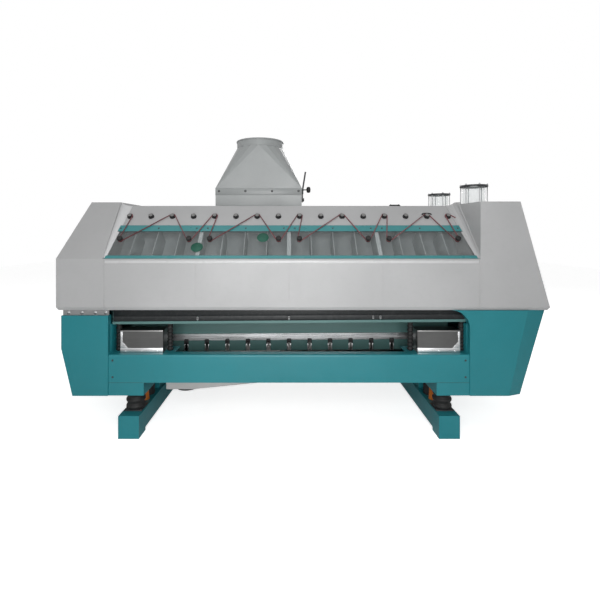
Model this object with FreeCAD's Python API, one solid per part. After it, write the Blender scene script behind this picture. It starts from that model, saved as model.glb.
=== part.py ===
"""Twin-channel semolina purifier: white suction hood with windows, teal base, rubber-mounted on two cross legs.

Millimetres, +Z up. The origin is on the floor, under the middle of the hood. +X runs to the feed end, and the
side with negative Y is the front. The rear side mirrors the front one.
"""

import FreeCAD
import Part

import math
import os

Vector = FreeCAD.Vector

# Overall run of the hood, from the discharge end at the left to the feed end at the right.
bay_count = 4
bay_length = 500.0
cells_per_bay = 4
discharge_length = 250.0
feed_length = 400.0
hood_width = 1300.0
sheet = 4.0
seat_gap = 0.3

# Heights above the floor.
machine_bottom = 231.0
beam_bottom = 300.0
beam_top = 450.0
fascia_bottom = 690.0
fascia_top = 967.0
roof_top = 1268.0
discharge_cap_rise = 19.0
feed_cap_rise = 6.0

# Hood section.
roof_width = 742.0
sill_depth = 10.0
sill_bend_radius = 9.0
hem_height = 16.0
hem_inset = 9.0
lip_return = 40.0
discharge_cap_roof_width = 828.0
discharge_cap_taper = 76.0
feed_cap_taper = 158.0
feed_cap_splay = 28.0
discharge_blend_low = 12.0
feed_blend_low = 16.0
blend_gap = 4.0
blend_steps = 4

# Windows on the slope.
bottom_rail_height = 20.0
top_rail_start = 196.0
knob_strip_start = 242.0
knob_height_on_slope = 312.0
latch_height_on_slope = 128.0
rail_thickness = 6.0
pane_thickness = 5.0
pane_gap = 2.0
mullion_width = 22.0
cell_depth = 150.0
partition_thickness = 3.0
latch_inset = 58.0

# Knobs.
knob_radius = 13.0
knob_length = 20.0
knob_collar_radius = 17.0
knob_collar_height = 5.0
knob_sides = 8
latch_radius = 15.0
latch_neck_radius = 9.0
latch_length = 18.0
cord_radius = 2.2
cord_sides = 4
cord_bend_steps = 3
lacing_tail = 40.0
lacing_tail_drop = 14.0

# Exhaust duct on the roof.
duct_centre_x = -276.0
duct_width = 570.0
duct_depth = 300.0
duct_base_height = 132.0
duct_cone_height = 286.0
duct_collar_height = 47.0
duct_radius = 160.0
duct_corner_folds = 5
duct_flange = 14.0
collar_bead = 3.0
collar_bead_height = 8.0

# Damper in the duct's base.
damper_axis_height = 66.0
damper_shaft_radius = 8.0
damper_blade_thickness = 3.0
damper_gap = 6.0
shaft_clearance = 0.05
lever_reach = 195.0
lever_width = 22.0
lever_thickness = 6.0
lever_offset = 8.0
lever_bend = 20.0
lever_ball_radius = 15.0
lever_ball_length = 32.0
lever_ball_height = 70.0
lever_ball_reach = 38.0
quadrant_radius = 92.0
quadrant_thickness = 4.0

# Feed inlets on the feed end.
inlet_centre_x = 1082.0
channel_centre_y = 290.0
inlet_bore_radius = 65.0
inlet_glass_wall = 5.0
inlet_ring_radius = 82.0
inlet_ring_height = 12.0
inlet_height = 127.0
inlet_rod_count = 6
inlet_rod_radius = 3.5
inlet_nut_radius = 6.0
inlet_nut_height = 6.0
nut_sides = 6
round_sides = 24

# Teal end housings.
housing_opening_inset = 29.0
housing_return_depth = 40.0
discharge_housing_inset = 28.0
discharge_housing_kink = 485.0
discharge_housing_foot_inset = 88.0
discharge_housing_top = 662.0
feed_housing_inset = 13.0
feed_housing_foot_inset = 147.0
feed_fold_width = 104.0
feed_fold_foot_share = 0.7
feed_fold_depth = 26.0
feed_corner_radius = 96.0
housing_sheet = 5.0

# Front and rear beams.
beam_inset = 5.0
beam_depth = 60.0
beam_edge_radius = 10.0

# Legs with their rubber springs.
leg_inset = 110.0
leg_width = 112.0
leg_beam_height = 105.0
foot_drop = 18.0
foot_length = 100.0
spring_radius = 52.0
spring_rib_depth = 7.0
spring_rib_count = 3
rib_crest_share = 0.3
turned_sides = 16
spring_setback = 109.0
cross_member_inner_left = 80.0
cross_member_inner_right = 67.0
stop_radius = 33.0
stop_setback = 228.0
buffer_radius = 36.0
buffer_setback = 308.0
post_length = 120.0
post_width = 80.0
post_setback = 450.0
post_gap = 6.0

# Sieve boats, tilted down towards the discharge end.
boat_tilt_deg = 0.4
boat_setback = 50.0
boat_inner_y = 40.0
boat_bottom = 612.0
boat_top = 820.0
boat_sheet = 6.0
boat_flange = 14.0
seal_height = 30.0
seal_thickness = 8.0
seal_joint = 6.0

# Flaps over the collecting troughs.
flap_line_y = 351.0
divider_thickness = 4.0
rail_top = 495.0
rail_bottom = 452.0
rail_lip = 16.0
flap_drop = 62.0
flap_gap = 22.0
flap_thickness = 3.0
clip_width = 26.0
clip_depth = 9.0
clip_rise = 10.0
clip_bridge = 30.0
clip_leg = 6.0

# Collecting troughs.
trough_inner_y = 52.0
trough_wall = 3.0
trough_floor = 305.0
trough_top = 440.0
hopper_start_x = -753.0
hopper_end_x = 30.0
hopper_bottom = 241.0
hopper_flat = 8.0
spout_x = -680.0
spout_y = 400.0
spout_radius = 65.0
spout_bottom = 185.0

# Covers over the boat springs.
cover_width = 234.0
cover_height = 122.0
cover_depth = 96.0
cover_setback = 40.0
cover_sheet = 3.0
cover_side_flange = 14.0
cover_bottom_flange = 20.0
cover_corner = 38.0
cover_offset_left = 49.0
cover_offset_right = 35.0
boat_spring_radius = 17.0
boat_spring_rib_depth = 3.0
boat_spring_rib_count = 3
boat_spring_sides = 8
boat_spring_setback = 90.0
boat_spring_spread = 284.0
shelf_depth = 110.0
shelf_thickness = 5.0

# Derived places.
window_run = bay_count * bay_length
hood_length = discharge_length + window_run + feed_length
left_x = -hood_length / 2
right_x = hood_length / 2
bay_left_x = left_x + discharge_length
bay_right_x = bay_left_x + window_run
bay_middle_x = (bay_left_x + bay_right_x) / 2
half_width = hood_width / 2
cell_length = bay_length / cells_per_bay
cell_count = bay_count * cells_per_bay
opening_left_x = bay_left_x + housing_opening_inset
opening_right_x = bay_right_x - housing_opening_inset
leg_left_x = opening_left_x + leg_inset
leg_right_x = opening_right_x - leg_inset
leg_top = foot_drop + leg_beam_height
discharge_cap_top = roof_top + discharge_cap_rise
feed_cap_top = roof_top + feed_cap_rise
duct_shoulder = roof_top + duct_base_height
duct_neck = duct_shoulder + duct_cone_height
duct_top = duct_neck + duct_collar_height
damper_axis_z = roof_top + damper_axis_height
boat_outer_y = half_width - boat_setback
sill_y = -half_width + sill_depth
roof_y = -roof_width / 2
lacing_out = knob_collar_height + cord_radius + seat_gap
latch_neck_height = lacing_out + cord_radius + seat_gap
cover_middle_left = opening_left_x + cover_offset_left + cover_width / 2
cover_middle_right = opening_right_x - cover_offset_right - cover_width / 2
slope_length = math.hypot(roof_y - sill_y, roof_top - fascia_top)
slope_y = (roof_y - sill_y) / slope_length
slope_z = (roof_top - fascia_top) / slope_length
blend_high = (cell_length / 2 - knob_collar_radius - blend_gap) * slope_length / knob_height_on_slope


def block(x0, x1, y0, y1, z0, z1):
    """A box between two corners."""
    return Part.makeBox(x1 - x0, y1 - y0, z1 - z0, Vector(x0, y0, z0))


def prism(points, run):
    """A closed outline of points, extruded along the vector run."""
    wire = Part.makePolygon([Vector(*p) for p in points + points[:1]])
    return Part.Face(wire).extrude(Vector(*run))


def prism_x(outline_yz, x0, x1):
    return prism([(x0, y, z) for y, z in outline_yz], (x1 - x0, 0, 0))


def prism_y(outline_xz, y0, y1):
    return prism([(x, y0, z) for x, z in outline_xz], (0, y1 - y0, 0))


def prism_z(outline_xy, z0, z1):
    return prism([(x, y, z0) for x, y in outline_xy], (0, 0, z1 - z0))


def rod(start, end, radius):
    """A round bar from start to end."""
    start, end = Vector(*start), Vector(*end)
    return Part.makeCylinder(radius, (end - start).Length, start, end - start)


def mirrored(shape):
    """The rear twin of a front piece."""
    return shape.mirror(Vector(0, 0, 0), Vector(0, 1, 0))


def faceted(corner_loops):
    """A solid between loops of points, all with the same number of points, with a flat face at both ends."""
    faces = []
    for lower, upper in zip(corner_loops, corner_loops[1:]):
        for i in range(len(lower)):
            j = (i + 1) % len(lower)
            faces.append(Part.Face(Part.makePolygon([lower[i], lower[j], upper[j], upper[i], lower[i]])))
    for loop in (corner_loops[0], corner_loops[-1]):
        faces.append(Part.Face(Part.makePolygon(loop + loop[:1])))
    solid = Part.Solid(Part.Shell(faces))
    if solid.Volume < 0:
        solid.reverse()
    return solid


def turned(base, axis, profile, sides):
    """A round piece worked in flats, from its profile of (radius, height) along axis from base."""
    base, axis = Vector(*base), Vector(*axis).normalize()
    across = Vector(1, 0, 0) if abs(axis.x) < 0.9 else Vector(0, 1, 0)
    up = axis.cross(across)
    loops = []
    for radius, height in profile:
        loop = []
        for i in range(sides):
            angle = 2 * math.pi * (i + 0.5) / sides
            loop.append(base + axis * height + across * (radius * math.cos(angle)) + up * (radius * math.sin(angle)))
        loops.append(loop)
    return faceted(loops)


def both_sides(shapes):
    """Front pieces and their rear twins, as solids that don't touch."""
    return Part.makeCompound(shapes + [mirrored(shape) for shape in shapes])


def fused(shapes):
    """Shapes that touch, as one clean solid."""
    whole = shapes[0]
    for shape in shapes[1:]:
        whole = whole.fuse(shape)
    return whole.removeSplitter()


def on_slope(along, out=0.0):
    """The (y, z) of a point up the window slope by along, and out from it by out."""
    return sill_y + slope_y * along - slope_z * out, fascia_top + slope_z * along + slope_y * out


def slope_plate(x0, x1, start, end, out_low, out_high):
    """A flat strip in the window slope, between two heights on it and two distances out from it."""
    corners = [on_slope(start, out_low), on_slope(start, out_high), on_slope(end, out_high), on_slope(end, out_low)]
    return prism_x(corners, x0, x1)


def tilted(shape):
    """A boat piece turned down towards the discharge end, about the middle of the bays."""
    piece = shape.copy()
    piece.rotate(Vector(bay_middle_x, 0, boat_bottom), Vector(0, 1, 0), -boat_tilt_deg)
    return piece


def tilt_rise(x):
    """How much the tilt lifts a boat piece at x."""
    return (x - bay_middle_x) * math.tan(math.radians(boat_tilt_deg))


def make_legs():
    """Two cross legs: a box beam with a foot block and a stop post at each end."""
    legs = {}
    for name, x in (("leg_left", leg_left_x), ("leg_right", leg_right_x)):
        x0, x1 = x - leg_width / 2, x + leg_width / 2
        front = -half_width
        outline = [
            (front, 0),
            (front + foot_length, 0),
            (front + foot_length, foot_drop),
            (-front - foot_length, foot_drop),
            (-front - foot_length, 0),
            (-front, 0),
            (-front, leg_top),
            (front, leg_top),
        ]
        beam = prism_x(outline, x0, x1)
        post_y = front + post_setback
        post = block(
            x - post_width / 2, x + post_width / 2, post_y - post_length / 2, post_y + post_length / 2,
            leg_top, machine_bottom - post_gap,
        )
        legs[name] = fused([beam, post, mirrored(post)])
    return legs


def ribbed_spring(x, y, bottom, top, radius, rib_depth, rib_count, sides):
    """A rubber spring with ribs round it, standing at x, y."""
    waist = radius - rib_depth
    pitch = (top - bottom) / rib_count
    profile = [(waist, 0)]
    for i in range(rib_count):
        profile.append((radius, (i + 0.5 - rib_crest_share / 2) * pitch))
        profile.append((radius, (i + 0.5 + rib_crest_share / 2) * pitch))
        profile.append((waist, (i + 1) * pitch))
    return turned((x, y, bottom), (0, 0, 1), profile, sides)


def make_leg_springs():
    """Four rubber springs between the legs and the base, with a stop and a buffer behind each."""
    springs, stops, buffers = [], [], []
    for x in (leg_left_x, leg_right_x):
        y = -half_width + spring_setback
        springs.append(ribbed_spring(x, y, leg_top, machine_bottom, spring_radius, spring_rib_depth,
                                     spring_rib_count, turned_sides))
        height = machine_bottom - leg_top
        y = -half_width + stop_setback
        stops.append(turned((x, y, leg_top), (0, 0, 1), [(stop_radius, 0), (stop_radius, height)], turned_sides))
        y = -half_width + buffer_setback
        buffers.append(turned((x, y, leg_top), (0, 0, 1), [(buffer_radius, 0), (buffer_radius, height)], turned_sides))
    return {
        "leg_springs": both_sides(springs),
        "orange_stops": both_sides(stops),
        "rubber_buffers": both_sides(buffers),
    }


def make_cross_members():
    """The box members over the legs, which carry the base."""
    reach = half_width - beam_inset
    left = block(opening_left_x, leg_left_x + cross_member_inner_left, -reach, reach, machine_bottom, beam_bottom)
    right = block(leg_right_x - cross_member_inner_right, opening_right_x, -reach, reach, machine_bottom, beam_bottom)
    return {"cross_members": Part.makeCompound([left, right])}


def make_beams():
    """The long teal beams under the openings, with a shelf behind each end for the boat's springs."""
    y0 = -half_width + beam_inset
    y1 = y0 + beam_depth
    beam = block(opening_left_x, opening_right_x, y0, y1, beam_bottom, beam_top)
    top_edges = [
        edge for edge in beam.Edges
        if abs(edge.CenterOfMass.y - y0) < 1 and abs(edge.CenterOfMass.z - beam_top) < 1
    ]
    beam = beam.makeFillet(beam_edge_radius, top_edges)
    shelves = []
    for x0, x1 in (
        (opening_left_x, cover_middle_left + boat_spring_spread / 2 + boat_spring_radius * 2),
        (cover_middle_right - boat_spring_spread / 2 - boat_spring_radius * 2, opening_right_x),
    ):
        shelves.append(block(x0, x1, y1, y1 + shelf_depth, beam_top - shelf_thickness, beam_top))
    beam = fused([beam] + shelves)
    return {"front_beam": beam, "rear_beam": mirrored(beam)}


def rounded_corner_plate(outline_xz, corner, radius, inner_side, y0, y1):
    """A panel whose corner at (x, z) is hollowed out by a round of radius. inner_side is +1 if the panel lies at +X."""
    plate = prism_y(outline_xz, y0, y1)
    x, z = corner
    square = block(min(x, x - inner_side * radius), max(x, x - inner_side * radius), y0, y1, z - radius, z)
    circle = Part.makeCylinder(
        radius, y1 - y0, Vector(x - inner_side * radius, y0, z - radius), Vector(0, 1, 0)
    )
    return fused([plate, square.cut(circle)])


def make_discharge_housing():
    """The teal housing at the discharge end: front, rear and end panels."""
    outer_x = left_x + discharge_housing_inset
    foot_x = left_x + discharge_housing_foot_inset
    inner_x = opening_left_x - seat_gap
    outline = [
        (outer_x, discharge_housing_top),
        (outer_x, discharge_housing_kink),
        (foot_x, machine_bottom),
        (inner_x, machine_bottom),
        (inner_x, discharge_housing_top),
    ]
    face_y = -half_width
    skin = prism_y(outline, face_y, face_y + housing_sheet)
    flange = block(
        inner_x - housing_sheet, inner_x, face_y, face_y + housing_return_depth, machine_bottom, discharge_housing_top
    )
    front = fused([skin, flange])
    end_outline = [
        (outer_x, discharge_housing_top),
        (outer_x, discharge_housing_kink),
        (foot_x, machine_bottom),
        (foot_x + housing_sheet, machine_bottom),
        (outer_x + housing_sheet, discharge_housing_kink),
        (outer_x + housing_sheet, discharge_housing_top),
    ]
    reach = half_width - housing_sheet
    end = prism_y(end_outline, -reach, reach)
    floor = block(foot_x + housing_sheet / 2, inner_x - housing_sheet, -reach, reach,
                  machine_bottom, machine_bottom + housing_sheet)
    return {
        "discharge_front_panel": front,
        "discharge_rear_panel": mirrored(front),
        "discharge_end_panel": fused([end, floor]),
    }


def make_feed_housing():
    """The teal housing at the feed end, with its slanted end and folded outer strip."""
    top = fascia_bottom - seat_gap
    outer_top_x = right_x - feed_housing_inset
    outer_foot_x = right_x - feed_housing_foot_inset
    inner_x = opening_right_x + seat_gap
    slant = (outer_top_x - outer_foot_x) / (top - machine_bottom)
    fold_top_x = outer_top_x - feed_fold_width
    fold_foot_x = outer_foot_x - feed_fold_width * feed_fold_foot_share
    face_y = -half_width
    flat = [
        (inner_x, machine_bottom),
        (fold_foot_x, machine_bottom),
        (fold_top_x, top),
        (inner_x, top),
    ]
    skin = rounded_corner_plate(flat, (inner_x, top), feed_corner_radius, 1, face_y, face_y + housing_sheet)
    strip = fold_strip(fold_top_x, fold_foot_x, outer_top_x, outer_foot_x, top)
    flange = block(inner_x, inner_x + housing_sheet, face_y, face_y + housing_return_depth, machine_bottom, top)
    arch = corner_return(inner_x, top, feed_corner_radius, face_y, face_y + housing_return_depth)
    front = fused([skin, strip, flange, arch])
    reach = half_width - feed_fold_depth - housing_sheet
    end_outline = [
        (outer_top_x, top),
        (outer_foot_x, machine_bottom),
        (outer_foot_x - housing_sheet, machine_bottom),
        (outer_top_x - housing_sheet, top),
    ]
    end = prism_y(end_outline, -reach, reach)
    floor = block(inner_x + housing_sheet, outer_foot_x - housing_sheet / 2, -reach, reach,
                  machine_bottom, machine_bottom + housing_sheet)
    return {
        "feed_front_panel": front,
        "feed_rear_panel": mirrored(front),
        "feed_end_panel": fused([end, floor]),
    }


def fold_strip(fold_top_x, fold_foot_x, outer_top_x, outer_foot_x, top):
    """The outer strip of the feed housing's face, folded back towards the end."""
    near, far = -half_width, -half_width + feed_fold_depth
    faces = []
    for z, fold_x, outer_x in ((machine_bottom, fold_foot_x, outer_foot_x), (top, fold_top_x, outer_top_x)):
        faces.append(Part.makePolygon([
            Vector(fold_x, near, z),
            Vector(outer_x, far, z),
            Vector(outer_x, far + housing_sheet, z),
            Vector(fold_x, near + housing_sheet, z),
            Vector(fold_x, near, z),
        ]))
    return Part.makeLoft(faces, True, True)


def corner_return(inner_x, top, radius, y0, y1):
    """The curved return behind the round corner of the feed housing's face."""
    centre = Vector(inner_x - radius, y0, top - radius)
    outer = Part.makeCylinder(radius + housing_sheet, y1 - y0, centre, Vector(0, 1, 0))
    inner = Part.makeCylinder(radius, y1 - y0, centre, Vector(0, 1, 0))
    quarter = block(inner_x - radius, inner_x + housing_sheet, y0, y1, top - radius, top)
    return outer.cut(inner).common(quarter)


def make_hood_seat():
    """The grey strip between the hood and the discharge housing."""
    inset = discharge_housing_inset + beam_inset
    frame = block(left_x + inset, opening_left_x, -half_width + beam_inset * 2, half_width - beam_inset * 2,
                  discharge_housing_top, fascia_bottom)
    inner = block(left_x + inset + housing_sheet * 2, opening_left_x, -half_width + beam_inset * 2 + housing_sheet * 2,
                  half_width - beam_inset * 2 - housing_sheet * 2, discharge_housing_top, fascia_bottom)
    return {"hood_seat": frame.cut(inner)}


def cap_outer(profile_yz, plan_xy, outline_xz):
    """A hood end as the part that its three outlines share."""
    low, high = fascia_bottom, discharge_cap_top
    solid = prism_x(profile_yz, left_x, right_x)
    solid = solid.common(prism_z(plan_xy, low, high))
    return solid.common(prism_y(outline_xz, -half_width, half_width))


def discharge_cap_solid(wall):
    """The discharge end of the hood, drawn in by wall all round except at its open bottom."""
    half = half_width - wall
    roof = discharge_cap_roof_width / 2 - wall / 2
    low, shoulder, top = fascia_bottom, fascia_top - wall / 2, discharge_cap_top - wall
    hem = low + hem_height
    profile = [
        (hem_inset - half, low), (-half, hem), (-half, shoulder), (-roof, top),
        (roof, top), (half, shoulder), (half, hem), (half - hem_inset, low),
    ]
    x0, x1 = left_x + wall, bay_left_x - wall
    plan = [(x0, -half), (x1, -half), (x1, half), (x0, half)]
    outline = [(x0 + hem_inset, low), (x0, hem), (x0, shoulder), (x0 + discharge_cap_taper, top), (x1, top), (x1, low)]
    return cap_outer(profile, plan, outline)


def feed_cap_solid(wall):
    """The feed end of the hood, drawn in by wall all round except at its open bottom."""
    half = half_width - wall
    low, top = fascia_bottom, feed_cap_top - wall
    hem = low + hem_height
    profile = [
        (hem_inset - half, low), (-half, hem), (-half, top), (half, top), (half, hem), (half - hem_inset, low),
    ]
    x0, x1 = bay_right_x + wall, right_x - wall
    roof = roof_width / 2
    plan = [
        (x0 + feed_cap_splay, -half), (x1, -half), (x1, half),
        (x0 + feed_cap_splay, half), (x0, roof), (x0, -roof),
    ]
    outline = [(x0, low), (x1 - hem_inset, low), (x1, hem), (x1 - feed_cap_taper, top), (x0, top)]
    return cap_outer(profile, plan, outline)


def slope_blend(x_low, x_high, side, low, high, rise):
    """A hollow corner from the window slope up to a hood end, widening from low at the sill to high at the roof.

    side is +1 where the hood end lies at +X of x. At the roof the corner climbs the hood end by rise.
    """
    loops = []
    for along, x, reach in ((0, x_low, low), (slope_length, x_high, high)):
        climb = rise * reach / high
        loop = [Vector(x + side * low, *on_slope(along)), Vector(x + side * low, *on_slope(along, climb))]
        for i in range(blend_steps + 1):
            turn = math.pi / 2 * (1 - i / blend_steps)
            out = climb * (1 - math.cos(turn))
            loop.append(Vector(x - side * reach * (1 - math.sin(turn)), *on_slope(along, out)))
        loops.append(loop)
    return faceted(loops)


def blends():
    """The corners that lead from the knob strip and windows up to both hood ends, on the front side."""
    feed_low_x = bay_right_x + feed_cap_splay * (roof_y - sill_y) / (roof_y + half_width)
    discharge_rise = (discharge_cap_roof_width - roof_width) / 2 * slope_z
    left = slope_blend(bay_left_x, bay_left_x, -1, discharge_blend_low, blend_high, discharge_rise)
    right = slope_blend(feed_low_x, bay_right_x, 1, feed_blend_low, blend_high, blend_high)
    rails = slope_rails(bay_left_x, bay_right_x + feed_cap_splay)
    over_sill = block(left_x, right_x, -half_width, roof_y, fascia_top, discharge_cap_top)
    left = left.common(over_sill).cut(discharge_cap_solid(0)).cut(rails)
    right = right.common(over_sill).cut(feed_cap_solid(0)).cut(rails)
    return left, right


def make_hood_caps():
    """The two closed ends of the hood, as sheet covers open at the bottom."""
    discharge = discharge_cap_solid(0).cut(discharge_cap_solid(sheet))
    feed = feed_cap_solid(0).cut(feed_cap_solid(sheet))
    for y in (-channel_centre_y, channel_centre_y):
        feed = feed.cut(rod((inlet_centre_x, y, roof_top), (inlet_centre_x, y, feed_cap_top), inlet_bore_radius))
    left, right = blends()
    discharge = fused([discharge, left, mirrored(left)])
    feed = fused([feed, right, mirrored(right)])
    return {"discharge_hood_end": discharge, "feed_hood_end": feed}


def make_fascias():
    """The long white faces below the windows, bent over at the sill and folded in at the hem."""
    face, top, bend = -half_width, fascia_top, sill_bend_radius
    hem, inner_bend = fascia_bottom + hem_height, sill_bend_radius - sheet
    corner = math.sqrt(0.5)

    def at(y, z):
        return Vector(bay_left_x, y, z)

    outer_arc = Part.Arc(
        at(face, top - bend), at(face + bend - bend * corner, top - bend + bend * corner), at(face + bend, top)
    )
    inner_arc = Part.Arc(
        at(face + bend, top - sheet), at(face + bend - inner_bend * corner, top - bend + inner_bend * corner),
        at(face + sheet, top - bend),
    )
    inside = Part.makePolygon([
        at(face + sheet, top - bend), at(face + sheet, hem), at(face + hem_inset + sheet, fascia_bottom + sheet),
        at(face + lip_return, fascia_bottom + sheet), at(face + lip_return, fascia_bottom),
        at(face + hem_inset, fascia_bottom), at(face, hem), at(face, top - bend),
    ])
    sill = Part.makePolygon([
        at(face + bend, top), at(sill_y, top), at(sill_y, top - sheet), at(face + bend, top - sheet),
    ])
    section = Part.Face(Part.Wire(inside.Edges + [outer_arc.toShape()] + sill.Edges + [inner_arc.toShape()]))
    fascia = section.extrude(Vector(window_run + feed_cap_splay, 0, 0)).cut(feed_cap_solid(0))
    return {"front_fascia": fascia, "rear_fascia": mirrored(fascia)}


def slope_rails(x0, x1):
    """The two window rails from x0 to x1, as one compound."""
    out = rail_thickness - sheet
    return Part.makeCompound([
        slope_plate(x0, x1, 0, bottom_rail_height, -sheet, out),
        slope_plate(x0, x1, top_rail_start, knob_strip_start, -sheet, out),
    ])


def make_slope():
    """The fixed strips of the sloping side: two window rails and the strip with the air knobs."""
    cap = feed_cap_solid(0)
    end_x = bay_right_x + feed_cap_splay
    roof = block(bay_left_x, end_x, roof_y, 0, roof_top - sheet, roof_top)
    strip = slope_plate(bay_left_x, end_x, knob_strip_start, slope_length, -sheet, 0).cut(cap).cut(roof)
    rails = slope_rails(bay_left_x, end_x).cut(cap)
    return {
        "front_knob_strip": strip,
        "rear_knob_strip": mirrored(strip),
        "front_window_rails": rails,
        "rear_window_rails": mirrored(rails),
    }


def make_panes():
    """Four clear windows to a side."""
    panes = []
    for i in range(bay_count):
        x0 = bay_left_x + i * bay_length + pane_gap / 2
        x1 = x0 + bay_length - pane_gap
        panes.append(slope_plate(x0, x1, bottom_rail_height + seat_gap, top_rail_start - seat_gap, -pane_thickness, 0))
    windows = Part.makeCompound(panes)
    return {"front_windows": windows, "rear_windows": mirrored(windows)}


def knob_on_slope(x, along, radius, length, collar_radius, collar_height):
    """A black knob on its collar, standing square to the slope."""
    top = collar_height + length
    profile = [(collar_radius, 0), (collar_radius, collar_height), (radius, collar_height), (radius, top)]
    return turned((x, *on_slope(along)), (0, -slope_z, slope_y), profile, knob_sides)


def air_knob_x(i):
    """The x of air knob i, in the middle of its cell."""
    return bay_left_x + (i + 0.5) * cell_length


def latch_x(i):
    """The x of window latch i: two to a window, near its ends."""
    window = bay_left_x + (i // 2) * bay_length
    return window + (latch_inset if i % 2 == 0 else bay_length - latch_inset)


def make_knobs():
    """The air knobs, one to a cell, and the window latches, two to a window."""
    knobs = [
        knob_on_slope(air_knob_x(i), knob_height_on_slope, knob_radius, knob_length, knob_collar_radius,
                      knob_collar_height)
        for i in range(cell_count)
    ]
    latches = [
        knob_on_slope(latch_x(i), latch_height_on_slope, latch_radius, latch_length, latch_neck_radius,
                      latch_neck_height)
        for i in range(bay_count * 2)
    ]
    return {"air_knobs": both_sides(knobs), "window_latches": both_sides(latches)}


def lacing_posts():
    """The posts that the cord goes round, from the left: x, height on the slope, radius and the side it passes."""
    posts = []
    for i in range(bay_count * 2):
        posts.append((air_knob_x(2 * i), knob_height_on_slope, knob_radius, 1))
        posts.append((latch_x(i), latch_height_on_slope, latch_neck_radius, -1))
    posts.append((air_knob_x(cell_count - 1), knob_height_on_slope, knob_radius, 1))
    return [(x, along, radius + seat_gap + cord_radius, side) for x, along, radius, side in posts]


def lacing_line():
    """The middle line of the cord on the slope, as points (x, height), in short chords round each post."""
    posts = lacing_posts()
    last_x, last_along = posts[-1][:2]
    ends = posts[1:] + [(last_x + lacing_tail, last_along - lacing_tail_drop, 0.0, -1)]
    line = [(posts[0][0], posts[0][1] + posts[0][2])]
    arrival = 0.0
    for (x, along, radius, side), (next_x, next_along, next_radius, next_side) in zip(posts, ends):
        cross = math.asin((radius + next_radius) / math.hypot(next_x - x, next_along - along))
        heading = math.atan2(next_along - along, next_x - x) - side * cross
        turn = (heading - arrival) / cord_bend_steps
        reach = radius / math.cos(turn / 2)
        for i in range(cord_bend_steps):
            angle = arrival + turn * (i + 0.5)
            line.append((x - side * reach * math.sin(angle), along + side * reach * math.cos(angle)))
        arrival = heading
    line.append(ends[-1][:2])
    return line


def make_lacing():
    """The red cord laced up and down between the air knobs and the window latches, pulled tight."""
    line = lacing_line()
    runs = [Vector(x1 - x0, s1 - s0, 0).normalize() for (x0, s0), (x1, s1) in zip(line, line[1:])]
    corner = cord_radius * math.sqrt(2)
    loops = []
    for i, (x, along) in enumerate(line):
        arrive, leave = runs[max(i - 1, 0)], runs[min(i, len(runs) - 1)]
        ahead = (arrive + leave).normalize()
        widen = corner / ahead.dot(leave)
        loop = []
        for j in range(cord_sides):
            angle = 2 * math.pi * (j + 0.5) / cord_sides
            step = widen * math.cos(angle)
            place = on_slope(along + ahead.x * step, lacing_out + corner * math.sin(angle))
            loop.append(Vector(x - ahead.y * step, *place))
        loops.append(loop)
    return {"window_lacing": both_sides([faceted(loops)])}


def make_cells():
    """The suction cells behind the windows: a back wall, the plates between cells and the bars between windows."""
    bar_near, bar_far = -pane_thickness - seat_gap, -pane_thickness - sheet * 2
    back_far = -cell_depth - sheet
    top = slope_length - sheet * 2
    pieces = [slope_plate(bay_left_x, bay_right_x, bottom_rail_height, top, back_far, -cell_depth)]
    for i in range(1, cell_count):
        x = bay_left_x + i * cell_length
        half = partition_thickness / 2
        pieces.append(slope_plate(x - half, x + half, bottom_rail_height, knob_strip_start, -cell_depth, bar_far))
    for i in range(1, bay_count):
        x = bay_left_x + i * bay_length
        half = mullion_width / 2
        pieces.append(slope_plate(x - half, x + half, bottom_rail_height, top_rail_start, bar_far, bar_near))
    cells = fused(pieces)
    return {"front_cells": cells, "rear_cells": mirrored(cells)}


def make_roof():
    """The flat roof plate, open under the duct."""
    roof = block(bay_left_x, bay_right_x, roof_y, -roof_y, roof_top - sheet, roof_top)
    x0, x1 = duct_centre_x - duct_width / 2 + sheet, duct_centre_x + duct_width / 2 - sheet
    half = duct_depth / 2 - sheet
    return {"hood_roof": roof.cut(block(x0, x1, -half, half, roof_top - sheet, roof_top))}


def duct_transition(wall):
    """The folded sheet from the oblong base to the round collar, drawn in by wall: four flats and four fans."""
    half_x, half_y = duct_width / 2 - wall, duct_depth / 2 - wall
    radius = duct_radius - wall
    corners = [Vector(duct_centre_x + half_x * i, half_y * j, duct_shoulder) for i, j in
               ((1, 1), (-1, 1), (-1, -1), (1, -1))]
    ring = []
    for i in range(4 * duct_corner_folds):
        angle = math.pi / 2 * i / duct_corner_folds
        ring.append(Vector(duct_centre_x + radius * math.cos(angle), radius * math.sin(angle), duct_neck))
    triangles = []
    for quarter, corner in enumerate(corners):
        first = quarter * duct_corner_folds
        for i in range(first, first + duct_corner_folds):
            triangles.append([corner, ring[(i + 1) % len(ring)], ring[i]])
        last = (first + duct_corner_folds) % len(ring)
        triangles.append([corner, corners[(quarter + 1) % 4], ring[last]])
    faces = [Part.Face(Part.makePolygon(points + points[:1])) for points in triangles + [corners, ring]]
    solid = Part.Solid(Part.Shell(faces))
    if solid.Volume < 0:
        solid.reverse()
    return solid


def duct_solid(wall):
    """The oblong base and the transition over it, drawn in by wall."""
    half_x, half_y = duct_width / 2 - wall, duct_depth / 2 - wall
    base = block(duct_centre_x - half_x, duct_centre_x + half_x, -half_y, half_y, roof_top, duct_shoulder)
    return fused([base, duct_transition(wall)])


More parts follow.
